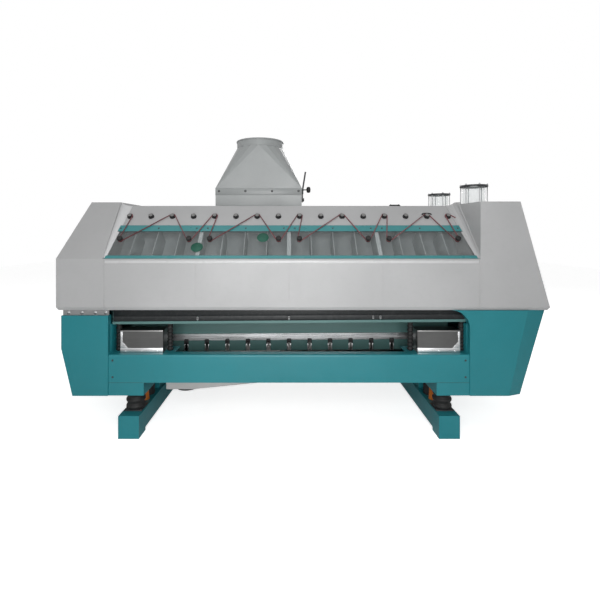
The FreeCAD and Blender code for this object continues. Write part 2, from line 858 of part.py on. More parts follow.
def make_duct():
    """The sheet duct that takes the dusty air up, with its foot flange, and its collar with a rolled lip."""
    half_x, half_y = duct_width / 2 + duct_flange, duct_depth / 2 + duct_flange
    flange = block(duct_centre_x - half_x, duct_centre_x + half_x, -half_y, half_y, roof_top, roof_top + sheet)
    duct = fused([duct_solid(0), flange]).cut(duct_solid(sheet))
    foot, top = (duct_centre_x, 0, duct_neck), (duct_centre_x, 0, duct_top)
    lip = rod((duct_centre_x, 0, duct_top - collar_bead_height), top, duct_radius + collar_bead)
    collar = fused([rod(foot, top, duct_radius), lip]).cut(rod(foot, top, duct_radius - sheet))
    shaft_hole = rod(
        (duct_centre_x - duct_width, 0, damper_axis_z), (duct_centre_x + duct_width, 0, damper_axis_z),
        damper_shaft_radius + shaft_clearance,
    )
    return {"exhaust_duct": duct.cut(shaft_hole), "exhaust_collar": collar}


def make_damper():
    """The damper: a blade on a shaft, with a cranked lever and a ball knob outside, and the quadrant it moves over."""
    wall_x = duct_centre_x + duct_width / 2
    reach_x = duct_width / 2 - sheet - damper_gap
    reach_z = duct_depth / 2 - sheet - damper_gap
    over = damper_axis_z + reach_z - duct_shoulder
    clip = over * (duct_width / 2 - duct_radius) / (duct_neck - duct_shoulder)
    blade = prism_y([
        (duct_centre_x - reach_x, damper_axis_z - reach_z),
        (duct_centre_x + reach_x, damper_axis_z - reach_z),
        (duct_centre_x + reach_x, duct_shoulder),
        (duct_centre_x + reach_x - clip, damper_axis_z + reach_z),
        (duct_centre_x - reach_x + clip, damper_axis_z + reach_z),
        (duct_centre_x - reach_x, duct_shoulder),
    ], -damper_blade_thickness / 2, damper_blade_thickness / 2)
    lever_x = wall_x + lever_offset
    shaft = rod(
        (duct_centre_x - duct_width / 2 - lever_offset, 0, damper_axis_z),
        (lever_x + lever_thickness, 0, damper_axis_z), damper_shaft_radius,
    )
    half = lever_width / 2
    knee = damper_axis_z + lever_ball_height
    top = damper_axis_z + lever_reach
    lever = prism_y([
        (lever_x, damper_axis_z - half),
        (lever_x + lever_thickness, damper_axis_z - half),
        (lever_x + lever_thickness, knee),
        (lever_x + lever_thickness + lever_bend, top),
        (lever_x + lever_bend, top),
        (lever_x, knee),
    ], -half, half)
    knob_x = lever_x + lever_thickness + lever_ball_reach
    stem = turned((lever_x + lever_thickness, 0, knee), (1, 0, 0), [
        (damper_shaft_radius / 2, 0),
        (damper_shaft_radius / 2, lever_ball_reach),
    ], knob_sides)
    half_length = lever_ball_length / 2
    ball = turned((knob_x, 0, knee), (0, 0, 1), [
        (lever_ball_radius / 2, -half_length),
        (lever_ball_radius, lever_ball_radius / 2 - half_length),
        (lever_ball_radius, half_length - lever_ball_radius / 2),
        (lever_ball_radius / 2, half_length),
    ], knob_sides)
    plate = Part.makeCylinder(quadrant_radius, quadrant_thickness, Vector(wall_x, 0, damper_axis_z), Vector(1, 0, 0))
    keep = block(
        wall_x, wall_x + quadrant_thickness, -quadrant_radius, lever_width,
        damper_axis_z - lever_width, duct_shoulder,
    )
    hole = rod((wall_x, 0, damper_axis_z), (wall_x + quadrant_thickness, 0, damper_axis_z),
               damper_shaft_radius + shaft_clearance)
    return {
        "damper_blade": fused([blade, shaft]),
        "damper_lever": fused([lever, stem]).cut(shaft),
        "damper_ball": ball.cut(stem),
        "damper_quadrant": plate.common(keep).cut(hole),
    }


def make_inlets():
    """The two feed inlets: a sight glass between rings, drawn together by tie rods."""
    glass_radius = inlet_bore_radius + inlet_glass_wall
    base, top = feed_cap_top, feed_cap_top + inlet_height
    x, y = inlet_centre_x, -channel_centre_y
    bore = rod((x, y, base), (x, y, top), inlet_bore_radius)
    ring = [(inlet_ring_radius, 0), (inlet_ring_radius, inlet_ring_height)]
    low = turned((x, y, base), (0, 0, 1), ring, round_sides)
    high = turned((x, y, top - inlet_ring_height), (0, 0, 1), ring, round_sides)
    ties = []
    for i in range(inlet_rod_count):
        angle = 2 * math.pi / inlet_rod_count * (i + 0.5)
        reach = (glass_radius + inlet_ring_radius) / 2
        tie_x, tie_y = x + reach * math.cos(angle), y + reach * math.sin(angle)
        ties.append(turned((tie_x, tie_y, base), (0, 0, 1), [
            (inlet_rod_radius, 0),
            (inlet_rod_radius, inlet_height),
            (inlet_nut_radius, inlet_height),
            (inlet_nut_radius, inlet_height + inlet_nut_height),
        ], nut_sides))
    frame = fused([low, high] + ties).cut(bore)
    tube = [(glass_radius, inlet_ring_height), (glass_radius, inlet_height - inlet_ring_height)]
    glass = turned((x, y, base), (0, 0, 1), tube, round_sides).cut(bore)
    return {"feed_inlet_frames": both_sides([frame]), "feed_inlet_glasses": both_sides([glass])}


def make_boats():
    """One closed sieve boat to a channel, with its bottom flange and the sheet that carries the flap rail."""
    x0, x1 = opening_left_x + housing_sheet, opening_right_x - housing_sheet
    body = block(x0, x1, -boat_outer_y, -boat_inner_y, boat_bottom, boat_top)
    flange = block(x0, x1, -boat_outer_y - boat_sheet, -boat_outer_y, boat_bottom, boat_bottom + boat_flange)
    hanger = block(x0, x1, -flap_line_y - divider_thickness, -flap_line_y, rail_top, boat_bottom)
    boat = tilted(fused([body, flange, hanger]))
    return {"sieve_boat_front": boat, "sieve_boat_rear": mirrored(boat)}


def make_seals():
    """The dark seals on top of the boats' flanges, in one length to a bay."""
    lengths = []
    for i in range(bay_count):
        x0 = max(bay_left_x + i * bay_length, opening_left_x + housing_sheet) + seal_joint / 2
        x1 = min(bay_left_x + (i + 1) * bay_length, opening_right_x - housing_sheet) - seal_joint / 2
        z0 = boat_bottom + boat_flange
        lengths.append(tilted(block(x0, x1, -boat_outer_y - seal_thickness, -boat_outer_y, z0, z0 + seal_height)))
    return {"boat_seals": both_sides(lengths)}


def make_flaps():
    """The flap rail under each boat, its row of flaps, one to a cell, and the forked clips between them."""
    x0, x1 = opening_left_x + housing_sheet, opening_right_x - housing_sheet
    face = -flap_line_y - divider_thickness
    rail = tilted(fused([
        block(x0, x1, face, -flap_line_y, rail_bottom, rail_top),
        block(x0, x1, face - rail_lip, face, rail_top - divider_thickness, rail_top),
    ]))
    flaps = []
    for i in range(cell_count):
        low = max(x0, bay_left_x + i * cell_length) + flap_gap / 2
        high = min(x1, bay_left_x + (i + 1) * cell_length) - flap_gap / 2
        flaps.append(tilted(block(low, high, face, face + flap_thickness, rail_bottom - flap_drop, rail_bottom)))
    half, top = clip_width / 2, rail_bottom + clip_rise
    clips = []
    for i in range(1, cell_count):
        x = bay_left_x + i * cell_length
        clips.append(tilted(prism_y([
            (x - half, rail_bottom - flap_drop),
            (x - half + clip_leg, rail_bottom - flap_drop),
            (x - half + clip_leg, top - clip_bridge),
            (x + half - clip_leg, top - clip_bridge),
            (x + half - clip_leg, rail_bottom - flap_drop),
            (x + half, rail_bottom - flap_drop),
            (x + half, top),
            (x - half, top),
        ], face - clip_depth, face)))
    return {
        "flap_rails": both_sides([rail]),
        "collecting_flaps": both_sides(flaps),
        "flap_clips": both_sides(clips),
    }


def trough_outline(wall):
    """The lengthwise outline of a collecting trough, drawn in by wall, with its hopper towards the discharge end."""
    x0, x1 = opening_left_x + wall, opening_right_x - wall
    low = trough_floor + wall
    return [
        (x0, trough_top),
        (x0, low),
        (hopper_start_x + wall, low),
        (hopper_start_x + wall, hopper_bottom + wall),
        (spout_x + spout_radius + hopper_flat, hopper_bottom + wall),
        (hopper_end_x, low),
        (x1, low),
        (x1, trough_top),
    ]


def make_troughs():
    """The collecting troughs with the outlet spout under each hopper."""
    outer = -half_width + beam_inset + beam_depth + seat_gap
    inner = -trough_inner_y
    trough = prism_y(trough_outline(0), outer, inner)
    trough = trough.cut(prism_y(trough_outline(trough_wall), outer + trough_wall, inner - trough_wall))
    spout_top = hopper_bottom + trough_wall
    bore = rod((spout_x, -spout_y, spout_bottom), (spout_x, -spout_y, spout_top), spout_radius - trough_wall)
    tube = rod((spout_x, -spout_y, spout_bottom), (spout_x, -spout_y, spout_top), spout_radius).cut(bore)
    whole = fused([trough.cut(bore), tube])
    return {"collecting_trough_front": whole, "collecting_trough_rear": mirrored(whole)}


def spring_cover(x0, outer_side):
    """A folded sheet cover from x0 on, with its flange to the outer side (-1 left, +1 right) and at the bottom."""
    x1 = x0 + cover_width
    y0 = -half_width + cover_setback
    z0, z1 = beam_top, beam_top + cover_height
    shell = block(x0, x1, y0, y0 + cover_depth, z0, z1)
    hollow = block(x0 + cover_sheet, x1 - cover_sheet, y0 + cover_sheet, y0 + cover_depth, z0, z1 - cover_sheet)
    side = x1 if outer_side > 0 else x0
    other = x0 if outer_side > 0 else x1
    edge = side - outer_side * cover_side_flange
    low, high = z0 + cover_bottom_flange, z1 - cover_sheet
    recess = prism_y([
        (edge, high),
        (edge, low + cover_corner),
        (edge - outer_side * cover_corner, low),
        (other + outer_side * cover_sheet, low),
        (other + outer_side * cover_sheet, high),
    ], y0, y0 + cover_sheet / 2)
    return shell.cut(hollow).cut(recess)


def make_spring_covers():
    """The sheet covers on the beams' ends, and the slim rubber springs under the boats beside them."""
    covers = [
        spring_cover(cover_middle_left - cover_width / 2, -1),
        spring_cover(cover_middle_right - cover_width / 2, 1),
    ]
    springs = []
    y = -half_width + boat_spring_setback
    slack = boat_spring_radius * math.tan(math.radians(boat_tilt_deg))
    for middle in (cover_middle_left, cover_middle_right):
        for x in (middle - boat_spring_spread / 2, middle + boat_spring_spread / 2):
            top = boat_bottom + tilt_rise(x) - slack
            springs.append(ribbed_spring(x, y, beam_top, top, boat_spring_radius, boat_spring_rib_depth,
                                         boat_spring_rib_count, boat_spring_sides))
    return {"spring_covers": both_sides(covers), "boat_springs": both_sides(springs)}


def main():
    os.makedirs("parts", exist_ok=True)
    makers = [
        make_legs, make_leg_springs, make_cross_members, make_beams, make_discharge_housing, make_feed_housing,
        make_hood_seat, make_hood_caps, make_fascias, make_slope, make_panes, make_knobs, make_lacing, make_cells,
        make_roof, make_duct, make_damper, make_inlets, make_boats, make_seals, make_flaps, make_troughs,
        make_spring_covers,
    ]
    for maker in makers:
        for name, shape in maker().items():
            shape.exportStep("parts/" + name + ".step")


main()
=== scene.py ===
"""Twin-channel semolina purifier: its finishes, its small hardware and the studio round it."""

import math

import bmesh
import bpy
from bpy.props import FloatProperty, FloatVectorProperty, IntProperty, PointerProperty
from mathutils import Matrix, Vector


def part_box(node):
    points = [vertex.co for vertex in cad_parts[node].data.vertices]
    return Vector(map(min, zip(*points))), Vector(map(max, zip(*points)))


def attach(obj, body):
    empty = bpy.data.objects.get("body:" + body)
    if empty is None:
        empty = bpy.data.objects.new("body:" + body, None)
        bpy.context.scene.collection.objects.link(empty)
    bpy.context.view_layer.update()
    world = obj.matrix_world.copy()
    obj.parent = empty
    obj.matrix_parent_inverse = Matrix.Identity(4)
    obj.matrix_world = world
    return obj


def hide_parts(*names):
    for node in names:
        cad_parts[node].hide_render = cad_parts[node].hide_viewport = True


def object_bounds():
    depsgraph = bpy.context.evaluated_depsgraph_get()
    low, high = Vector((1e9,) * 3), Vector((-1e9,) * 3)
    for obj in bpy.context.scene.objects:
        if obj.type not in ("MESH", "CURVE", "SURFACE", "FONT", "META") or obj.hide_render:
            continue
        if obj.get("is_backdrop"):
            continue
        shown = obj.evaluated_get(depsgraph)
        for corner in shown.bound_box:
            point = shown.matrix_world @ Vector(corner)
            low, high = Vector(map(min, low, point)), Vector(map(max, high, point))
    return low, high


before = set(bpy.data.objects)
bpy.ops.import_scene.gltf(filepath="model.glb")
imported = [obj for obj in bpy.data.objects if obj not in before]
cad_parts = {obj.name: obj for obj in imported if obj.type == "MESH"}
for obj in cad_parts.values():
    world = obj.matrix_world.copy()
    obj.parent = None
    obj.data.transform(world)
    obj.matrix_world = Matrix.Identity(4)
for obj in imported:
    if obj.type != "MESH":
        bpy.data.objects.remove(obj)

bl_info = {
    "name": "Semolina purifier dresser",
    "version": (1, 0, 0),
    "blender": (4, 5, 0),
    "location": "View3D > Sidebar > Purifier",
    "description": "Gives the purifier's nodes their finishes and adds its hardware and studio",
    "category": "Object",
}

# Places read from the frame, in metres.
ROOF_LOW, ROOF_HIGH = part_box("hood_roof")
FASCIA_LOW, FASCIA_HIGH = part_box("front_fascia")
BEAM_LOW, BEAM_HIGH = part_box("front_beam")
BALL_LOW, BALL_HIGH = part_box("damper_ball")
BAY_LEFT, BAY_RIGHT = ROOF_LOW.x, ROOF_HIGH.x
BAY_COUNT = 4
CELLS_PER_BAY = 4
BAY = (BAY_RIGHT - BAY_LEFT) / BAY_COUNT
CELL = BAY / CELLS_PER_BAY
FACE_Y = FASCIA_LOW.y
SILL_Y = FACE_Y + 0.01
SILL_Z = FASCIA_HIGH.z
ROOF_Y = ROOF_LOW.y
ROOF_Z = ROOF_HIGH.z
SLOPE = math.hypot(ROOF_Y - SILL_Y, ROOF_Z - SILL_Z)
SLOPE_Y = (ROOF_Y - SILL_Y) / SLOPE
SLOPE_Z = (ROOF_Z - SILL_Z) / SLOPE
KNOB_ALONG = 0.312
LATCH_ALONG = 0.128
LATCH_INSET = 0.058
RAIL_ALONG = 0.219

# Places that the nodes' boxes don't give, in metres. A negative Y is on the front side.
SEAM_X = (-1.067, 0.946)
SEAT_BOLT_X = (-1.262, -1.19, -1.118, -1.062, 0.985, 1.062, 1.14, 1.218)
CORNER_REACH, CORNER_CLIMB = 0.0537, 0.0321
DUCT_X, DUCT_HALF_X, DUCT_HALF_Y = -0.276, 0.285, 0.15
SKIRT_LOW, SKIRT_HIGH, SKIRT_BOLT_Z = 1.354, 1.4002, 1.381
LIP_Z, LIP_RADIUS = 1.7297, 0.161
LEVER_X, SHAFT_Z, KNEE_Z, LEVER_TOP_Z = 0.017, 1.334, 1.404, 1.529
INLET_X, INLET_Y, INLET_FOOT, INLET_RISE, INLET_BORE = 1.082, -0.29, 1.274, 0.127, 0.065
LEG_X = (-0.936, 0.786)
MOUNT_LOW, MOUNT_TOP = 0.123, 0.231
LEG_SPRING_Y, STOP_Y, BUFFER_Y = -0.541, -0.422, -0.342
COVER_WIDTH, COVER_FOLD, COVER_SPRING_STEP = 0.234, 0.0265, 0.142
SHELF_TOP, BOAT_BOTTOM, SEAL_LOW, BOAT_SPRING_Y = 0.4502, 0.612, 0.626, -0.56
RIB_SHAPE = ((0.1, 0.0), (0.22, 0.55), (0.34, 0.92), (0.5, 1.0), (0.66, 0.92), (0.78, 0.55), (0.9, 0.0))
BOAT_TILT = math.radians(0.4)
RAIL_FOOT, CLIP_Y = 0.452, -0.364
SPOUT_X, SPOUT_Y, SLEEVE_RADIUS = -0.68, -0.4, 0.0668

# The picture's width and height in pixels.
FRAME = 600.0


# sizes and colours


def colour(name, description, value):
    """A colour that the user can change."""
    return FloatVectorProperty(name=name, description=description, default=value, min=0.0, max=1.0,
                               subtype="COLOR")


def length(name, description, value):
    """A length in metres that the user can change."""
    return FloatProperty(name=name, description=description, default=value, min=0.0001, unit="LENGTH")


def power(name, description, value):
    """A lamp's power in watts that the user can change."""
    return FloatProperty(name=name, description=description, default=value, unit="POWER")


class PurifierColours(bpy.types.PropertyGroup):
    """Colours of the purifier's finishes, as linear values."""

    hood: colour("Hood", "Light grey paint of the hood", (0.4, 0.402, 0.405))
    # The duct's grey is darker than the hood's as painted shade.
    duct: colour("Duct", "Grey paint of the duct", (0.31, 0.325, 0.325))
    base: colour("Base", "Teal paint of the housings, beams and legs", (0.014, 0.19, 0.22))
    rail: colour("Rail", "Paler teal paint of the window rails", (0.036, 0.22, 0.23))
    inner: colour("Inner", "Grey paint inside the suction cells", (0.3, 0.325, 0.33))
    boat: colour("Boat", "Grey-green paint of the sieve boats", (0.078, 0.172, 0.164))
    steel: colour("Steel", "Brushed stainless sheet", (0.43, 0.43, 0.425))
    drawn: colour("Drawn", "Drawn aluminium profile", (0.7, 0.71, 0.72))
    zinc: colour("Zinc", "Zinc-plated screws and bolts", (0.38, 0.385, 0.39))
    dark: colour("Dark", "Dark painted steel", (0.03, 0.032, 0.035))
    black: colour("Black", "Moulded black plastic", (0.012, 0.012, 0.013))
    cap: colour("Cap", "Grey tops of the air knobs", (0.22, 0.218, 0.215))
    rubber: colour("Rubber", "Black rubber", (0.014, 0.014, 0.014))
    seal: colour("Seal", "Dark grey seal", (0.01, 0.012, 0.013))
    orange: colour("Orange", "Orange stop", (0.56, 0.15, 0.015))
    cord: colour("Cord", "Red laced cord", (0.18, 0.04, 0.048))
    disc: colour("Disc", "Green discs on the windows", (0.01, 0.085, 0.055))
    clear: colour("Clear", "Clear sheet and tube", (0.8, 0.88, 0.88))


class PurifierSizes(bpy.types.PropertyGroup):
    """Sizes of the purifier's small hardware."""

    screw: length("Screw", "Radius of a sheet screw's head", 0.0045)
    bolt: length("Bolt", "Radius of a flange bolt's head", 0.0075)
    knob: length("Knob", "Radius of an air knob", 0.013)
    latch: length("Latch", "Radius of a window latch", 0.015)
    disc: length("Disc", "Radius of a disc on a window", 0.033)
    ribs: IntProperty(name="Ribs", description="Ribs round a leg spring", default=3, min=1)
    boat_ribs: IntProperty(name="Boat ribs", description="Ribs round a boat spring", default=8, min=1)


class PurifierStudio(bpy.types.PropertyGroup):
    """The floor, lights and camera."""

    key: power("Key", "Power of the lamp before the front", 49.0)
    fill: power("Fill", "Power of the lamp overhead", 34.0)
    back: power("Back", "Power of the lamp behind", 90.0)
    sky: FloatProperty(name="Sky", description="Strength of the light all round", default=0.22, min=0.0)
    focal: FloatProperty(name="Focal length", description="Lens of the camera", default=24.0, unit="CAMERA")


def colours():
    """The colours as the scene holds them."""
    return bpy.context.scene.purifier_colours


def sizes():
    """The sizes as the scene holds them."""
    return bpy.context.scene.purifier_sizes


# places


def on_slope(x, along, out=0.0):
    """A point on the front window slope: at x, up it by along and out from it by out."""
    return Vector((x, SILL_Y + SLOPE_Y * along - SLOPE_Z * out, SILL_Z + SLOPE_Z * along + SLOPE_Y * out))


def slope_place(x, along, out=0.0):
    """The place on the slope as a matrix: X along the hood, Y up the slope and Z out of it."""
    across, up, away = Vector((1, 0, 0)), Vector((0, SLOPE_Y, SLOPE_Z)), Vector((0, -SLOPE_Z, SLOPE_Y))
    turn = Matrix((across, up, away)).transposed().to_4x4()
    return Matrix.Translation(on_slope(x, along, out)) @ turn


def facing(point, away):
    """A place at point as a matrix whose Z looks along away."""
    return Matrix.Translation(point) @ Vector(away).to_track_quat("Z", "Y").to_matrix().to_4x4()


def upright(x, y, z=0.0):
    """The place at a point as a matrix whose Z looks straight up."""
    return Matrix.Translation((x, y, z))


def around(place, radius, height, count):
    """Points on a circle at a height above place."""
    turns = [2 * math.pi * i / count for i in range(count)]
    return [place @ Vector((radius * math.cos(turn), radius * math.sin(turn), height)) for turn in turns]


def knob_x(i):
    """The x of air knob i."""
    return BAY_LEFT + (i + 0.5) * CELL


def latch_x(i):
    """The x of window latch i."""
    window = BAY_LEFT + (i // 2) * BAY
    return window + (LATCH_INSET if i % 2 == 0 else BAY - LATCH_INSET)


def tilt(x):
    """How much the boats' tilt lifts them at x."""
    return (x - (BAY_LEFT + BAY_RIGHT) / 2) * math.tan(BOAT_TILT)


def spring_places():
    """The x of the rubber springs under the boats, two to a spring cover."""
    low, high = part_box("spring_covers")
    middles = (low.x + COVER_WIDTH / 2, high.x - COVER_WIDTH / 2)
    return [middle + side * COVER_SPRING_STEP for middle in middles for side in (-1, 1)]


# meshes


def add_object(name, data):
    """A new object in the scene that shows data."""
    made = bpy.data.objects.new(name, data)
    bpy.context.scene.collection.objects.link(made)
    return made


def add_turned(bm, place, profile, segments=24, finish=0):
    """A turned form at place, from its profile of (radius, height). A radius of 0 closes it."""
    rings = []
    for radius, height in profile:
        middle = [place @ Vector((0, 0, height))]
        points = around(place, radius, height, segments) if radius > 0.0 else middle
        rings.append([bm.verts.new(point) for point in points])
    for lower, upper in zip(rings, rings[1:]):
        for i in range(segments):
            j = (i + 1) % segments
            if len(lower) == 1:
                face = bm.faces.new((lower[0], upper[j], upper[i]))
            elif len(upper) == 1:
                face = bm.faces.new((lower[i], lower[j], upper[0]))
            else:
                face = bm.faces.new((lower[i], lower[j], upper[j], upper[i]))
            face.material_index = finish


def add_rings(bm, rings, finish=0, capped=True):
    """The skin between rings of as many points each, closed at both ends if capped."""
    rings = [[bm.verts.new(point) for point in ring] for ring in rings]
    for lower, upper in zip(rings, rings[1:]):
        for i in range(len(lower)):
            j = (i + 1) % len(lower)
            bm.faces.new((lower[i], lower[j], upper[j], upper[i])).material_index = finish
    if capped:
        bm.faces.new(list(reversed(rings[0]))).material_index = finish
        bm.faces.new(rings[-1]).material_index = finish


def add_prism(bm, outline, run, bevel=0.0, finish=0, steps=2):
    """A flat outline of points carried along run, with its edges rounded by bevel."""
    part = bmesh.new()
    base = part.faces.new([part.verts.new(Vector(p)) for p in outline])
    grown = bmesh.ops.extrude_face_region(part, geom=[base])
    moved = [item for item in grown["geom"] if isinstance(item, bmesh.types.BMVert)]
    bmesh.ops.translate(part, verts=moved, vec=Vector(run))
    bmesh.ops.recalc_face_normals(part, faces=part.faces)
    if bevel > 0.0:
        bmesh.ops.bevel(part, geom=list(part.edges), offset=bevel, segments=steps, profile=0.5,
                        affect="EDGES", clamp_overlap=True)
    for face in part.faces:
        face.material_index = finish
    merge(bm, part)


def add_box(bm, low, high, bevel=0.0, finish=0):
    """A box between two corners, with its edges rounded by bevel."""
    x0, y0, z0 = low
    x1, y1, z1 = high
    outline = [(x0, y0, z0), (x1, y0, z0), (x1, y1, z0), (x0, y1, z0)]
    add_prism(bm, outline, (0, 0, z1 - z0), bevel, finish)


def merge(bm, part):
    """Moves part's faces into bm."""
    mesh = bpy.data.meshes.new("part")
    part.to_mesh(mesh)
    part.free()
    bm.from_mesh(mesh)
    bpy.data.meshes.remove(mesh)


def add_screw(bm, place, radius, finish=0):
    """A round-headed screw with a cross recess hinted by a dimple."""
    shares = ((1.0, 0.0), (1.0, 0.25), (0.82, 0.55), (0.4, 0.7), (0.3, 0.45), (0.0, 0.4))
    add_turned(bm, place, [(radius * out, radius * up) for out, up in shares], 14, finish)


def add_bolt(bm, place, radius, finish=0):
    """A hexagon bolt head on its washer."""
    washer = ((1.5, 0.0), (1.5, 0.18), (0.9, 0.2))
    head = ((1.0, 0.15), (1.0, 0.72), (0.86, 0.86), (0.0, 0.86))
    for shares, sides in ((washer, 20), (head, 6)):
        add_turned(bm, place, [(radius * out, radius * up) for out, up in shares], sides, finish)


def add_swept(bm, points, radius, segments=12, finish=0):
    """A round bar bent along points, closed at both ends."""
    points = [Vector(point) for point in points]
    runs = [(end - start).normalized() for start, end in zip(points, points[1:])]
    side = runs[0].orthogonal().normalized()
    rings = []
    for i, point in enumerate(points):
        ahead = (runs[max(i - 1, 0)] + runs[min(i, len(runs) - 1)]).normalized()
        side = (side - ahead * side.dot(ahead)).normalized()
        up = ahead.cross(side)
        ring = []
        for j in range(segments):
            angle = 2 * math.pi * j / segments
            ring.append(point + side * (radius * math.cos(angle)) + up * (radius * math.sin(angle)))
        rings.append(ring)
    add_rings(bm, rings, finish)


def add_fluted(bm, place, radius, low, high, flutes):
    """A round grip with shallow flutes round it, from low to high."""
    count = flutes * 4
    rings = []
    for height in (low, high):
        ring = []
        for i in range(count):
            angle = 2 * math.pi * i / count
            reach = radius - (0.0007 if i % 4 == 0 else 0.0)
            ring.append(place @ Vector((reach * math.cos(angle), reach * math.sin(angle), height)))
        rings.append(ring)
    add_rings(bm, rings, capped=False)


def add_lip(bm, centre, radius, thick):
    """A rolled bead of round section that lies flat round centre."""
    place = Matrix.Translation(centre)
    profile = []
    for i in range(13):
        angle = 2 * math.pi * i / 12
        profile.append((radius + thick * math.cos(angle), thick * math.sin(angle)))
    add_turned(bm, place, profile, 72)


def add_box_on_slope(bm, x0, x1, low, high, under, over):
    """A flat strip on the front slope, between two places along the hood and two up the slope."""
    section = ((low, under), (high, under), (high, over), (low, over))
    add_prism(bm, [on_slope(x0, along, out) for along, out in section], (x1 - x0, 0, 0), 0.0006)


def add_seal(bm, x0, x1):
    """One length of the soft seal round a boat's top edge, bulged and following the boat's tilt."""
    outline = ((-0.6, 0.0), (-0.605, 0.0), (-0.6072, 0.003), (-0.608, 0.009), (-0.608, 0.021),
               (-0.6072, 0.027), (-0.605, 0.03), (-0.6, 0.03))
    add_rings(bm, [[(x, y, SEAL_LOW + tilt(x) + rise) for y, rise in outline] for x in (x0, x1)])
    bmesh.ops.recalc_face_normals(bm, faces=bm.faces)


def ribs(low, high, crest, waist, count):
    """The profile of a ribbed rubber spring."""
    pitch = (high - low) / count
    profile = [(waist, low)]
    for i in range(count):
        start = low + i * pitch
        for share, reach in RIB_SHAPE:
            profile.append((waist + (crest - waist) * reach, start + share * pitch))
    profile.append((waist, high))
    return profile


def add_rear(bm):
    """Adds the rear twin of what bm holds, mirrored over the middle of the machine."""
    twin = bm.copy()
    for vert in twin.verts:
        vert.co.y = -vert.co.y
    bmesh.ops.reverse_faces(twin, faces=twin.faces)
    merge(bm, twin)


def make_piece(name, bm, finishes, slot, body="machine", replaces=None, sharp=35.0):
    """The finished piece: its mesh, its finishes, its soft shading, and the body it rides on."""
    for edge in bm.edges:
        edge.smooth = len(edge.link_faces) != 2 or edge.calc_face_angle(0.0) < math.radians(sharp)
    for face in bm.faces:
        face.smooth = True
    mesh = bpy.data.meshes.new(name)
    bm.to_mesh(mesh)
    bm.free()
    for finish in finishes:
        mesh.materials.append(finish_of(finish))
    piece = add_object(name, mesh)
    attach(piece, body)
    if replaces:
        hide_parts(replaces)


def make_pair(name, bm, finishes, slot, **rest):
    """The finished piece together with its rear twin."""
    add_rear(bm)
    make_piece(name, bm, finishes, slot, **rest)


def dress(finish, *nodes):
    """Gives CAD nodes their finish."""
    for node in nodes:
        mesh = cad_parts[node].data
        mesh.materials.clear()
        mesh.materials.append(finish_of(finish))


# finishes


def tinted(value, factor):
    """A colour made lighter or darker by factor."""
    return (*[min(max(channel * factor, 0.0), 1.0) for channel in value], 1.0)


class Finish:
    """A finish being built: a Principled shader, its coordinates, and small helpers that wire its nodes."""

    def __init__(self, name, roughness, metallic=0.0):
        self.material = bpy.data.materials.new("purifier_" + name)
        self.material.use_nodes = True
        self.tree = self.material.node_tree
        self.tree.nodes.clear()
        output = self.node("ShaderNodeOutputMaterial")
        self.shader = self.node("ShaderNodeBsdfPrincipled")
        self.shader.inputs["Roughness"].default_value = roughness
        self.shader.inputs["Metallic"].default_value = metallic
        self.link(self.shader.outputs["BSDF"], output.inputs["Surface"])
        self.place = self.node("ShaderNodeTexCoord").outputs["Object"]

    def node(self, kind, **values):
        made = self.tree.nodes.new(kind)
        for key, value in values.items():
            setattr(made, key, value)
        return made

    def link(self, source, target):
        self.tree.links.new(source, target)

    def stretched(self, scale):
        """The coordinates scaled by a factor for each axis."""
        mapping = self.node("ShaderNodeMapping")
        mapping.inputs["Scale"].default_value = scale
        self.link(self.place, mapping.inputs["Vector"])
        return mapping.outputs["Vector"]

    def noise(self, scale, detail=3.0, place=None):
        """A noise of scale per metre."""
        noise = self.node("ShaderNodeTexNoise")
        noise.inputs["Scale"].default_value = scale
        noise.inputs["Detail"].default_value = detail
        self.link(place or self.place, noise.inputs["Vector"])
        return noise.outputs["Fac"]

    def spread(self, source, low, high, to_low=0.0, to_high=1.0):
        """A value from source, moved from one range to another and held within it."""
        ranged = self.node("ShaderNodeMapRange")
        for key, value in (("From Min", low), ("From Max", high), ("To Min", to_low), ("To Max", to_high)):
            ranged.inputs[key].default_value = value
        self.link(source, ranged.inputs["Value"])
        return ranged.outputs["Result"]

    def blend(self, factor, first, second):
        """A colour between two, each a colour or a socket."""
        mix = self.node("ShaderNodeMix", data_type="RGBA")
        self.link(factor, mix.inputs["Factor"])
        for value, socket in ((first, mix.inputs["A"]), (second, mix.inputs["B"])):
            if isinstance(value, tuple):
                socket.default_value = value
            else:
                self.link(value, socket)
        return mix.outputs["Result"]

    def edges(self, radius):
        """The normals of the rounded edges, and how much of an edge is here."""
        bevel = self.node("ShaderNodeBevel", samples=4)
        bevel.inputs["Radius"].default_value = radius
        flat = self.node("ShaderNodeNewGeometry")
        dot = self.node("ShaderNodeVectorMath", operation="DOT_PRODUCT")
        self.link(bevel.outputs["Normal"], dot.inputs[0])
        self.link(flat.outputs["Normal"], dot.inputs[1])
        return bevel.outputs["Normal"], self.spread(dot.outputs["Value"], 0.995, 0.9)

    def relief(self, height, strength, distance, normal=None):
        """Relief on the surface from a height."""
        bump = self.node("ShaderNodeBump")
        bump.inputs["Strength"].default_value = strength
        bump.inputs["Distance"].default_value = distance
        self.link(height, bump.inputs["Height"])
        if normal is not None:
            self.link(normal, bump.inputs["Normal"])
        self.link(bump.outputs["Normal"], self.shader.inputs["Normal"])

    def put(self, socket, source):
        self.link(source, self.shader.inputs[socket])

    def setting(self, socket, value):
        self.shader.inputs[socket].default_value = value


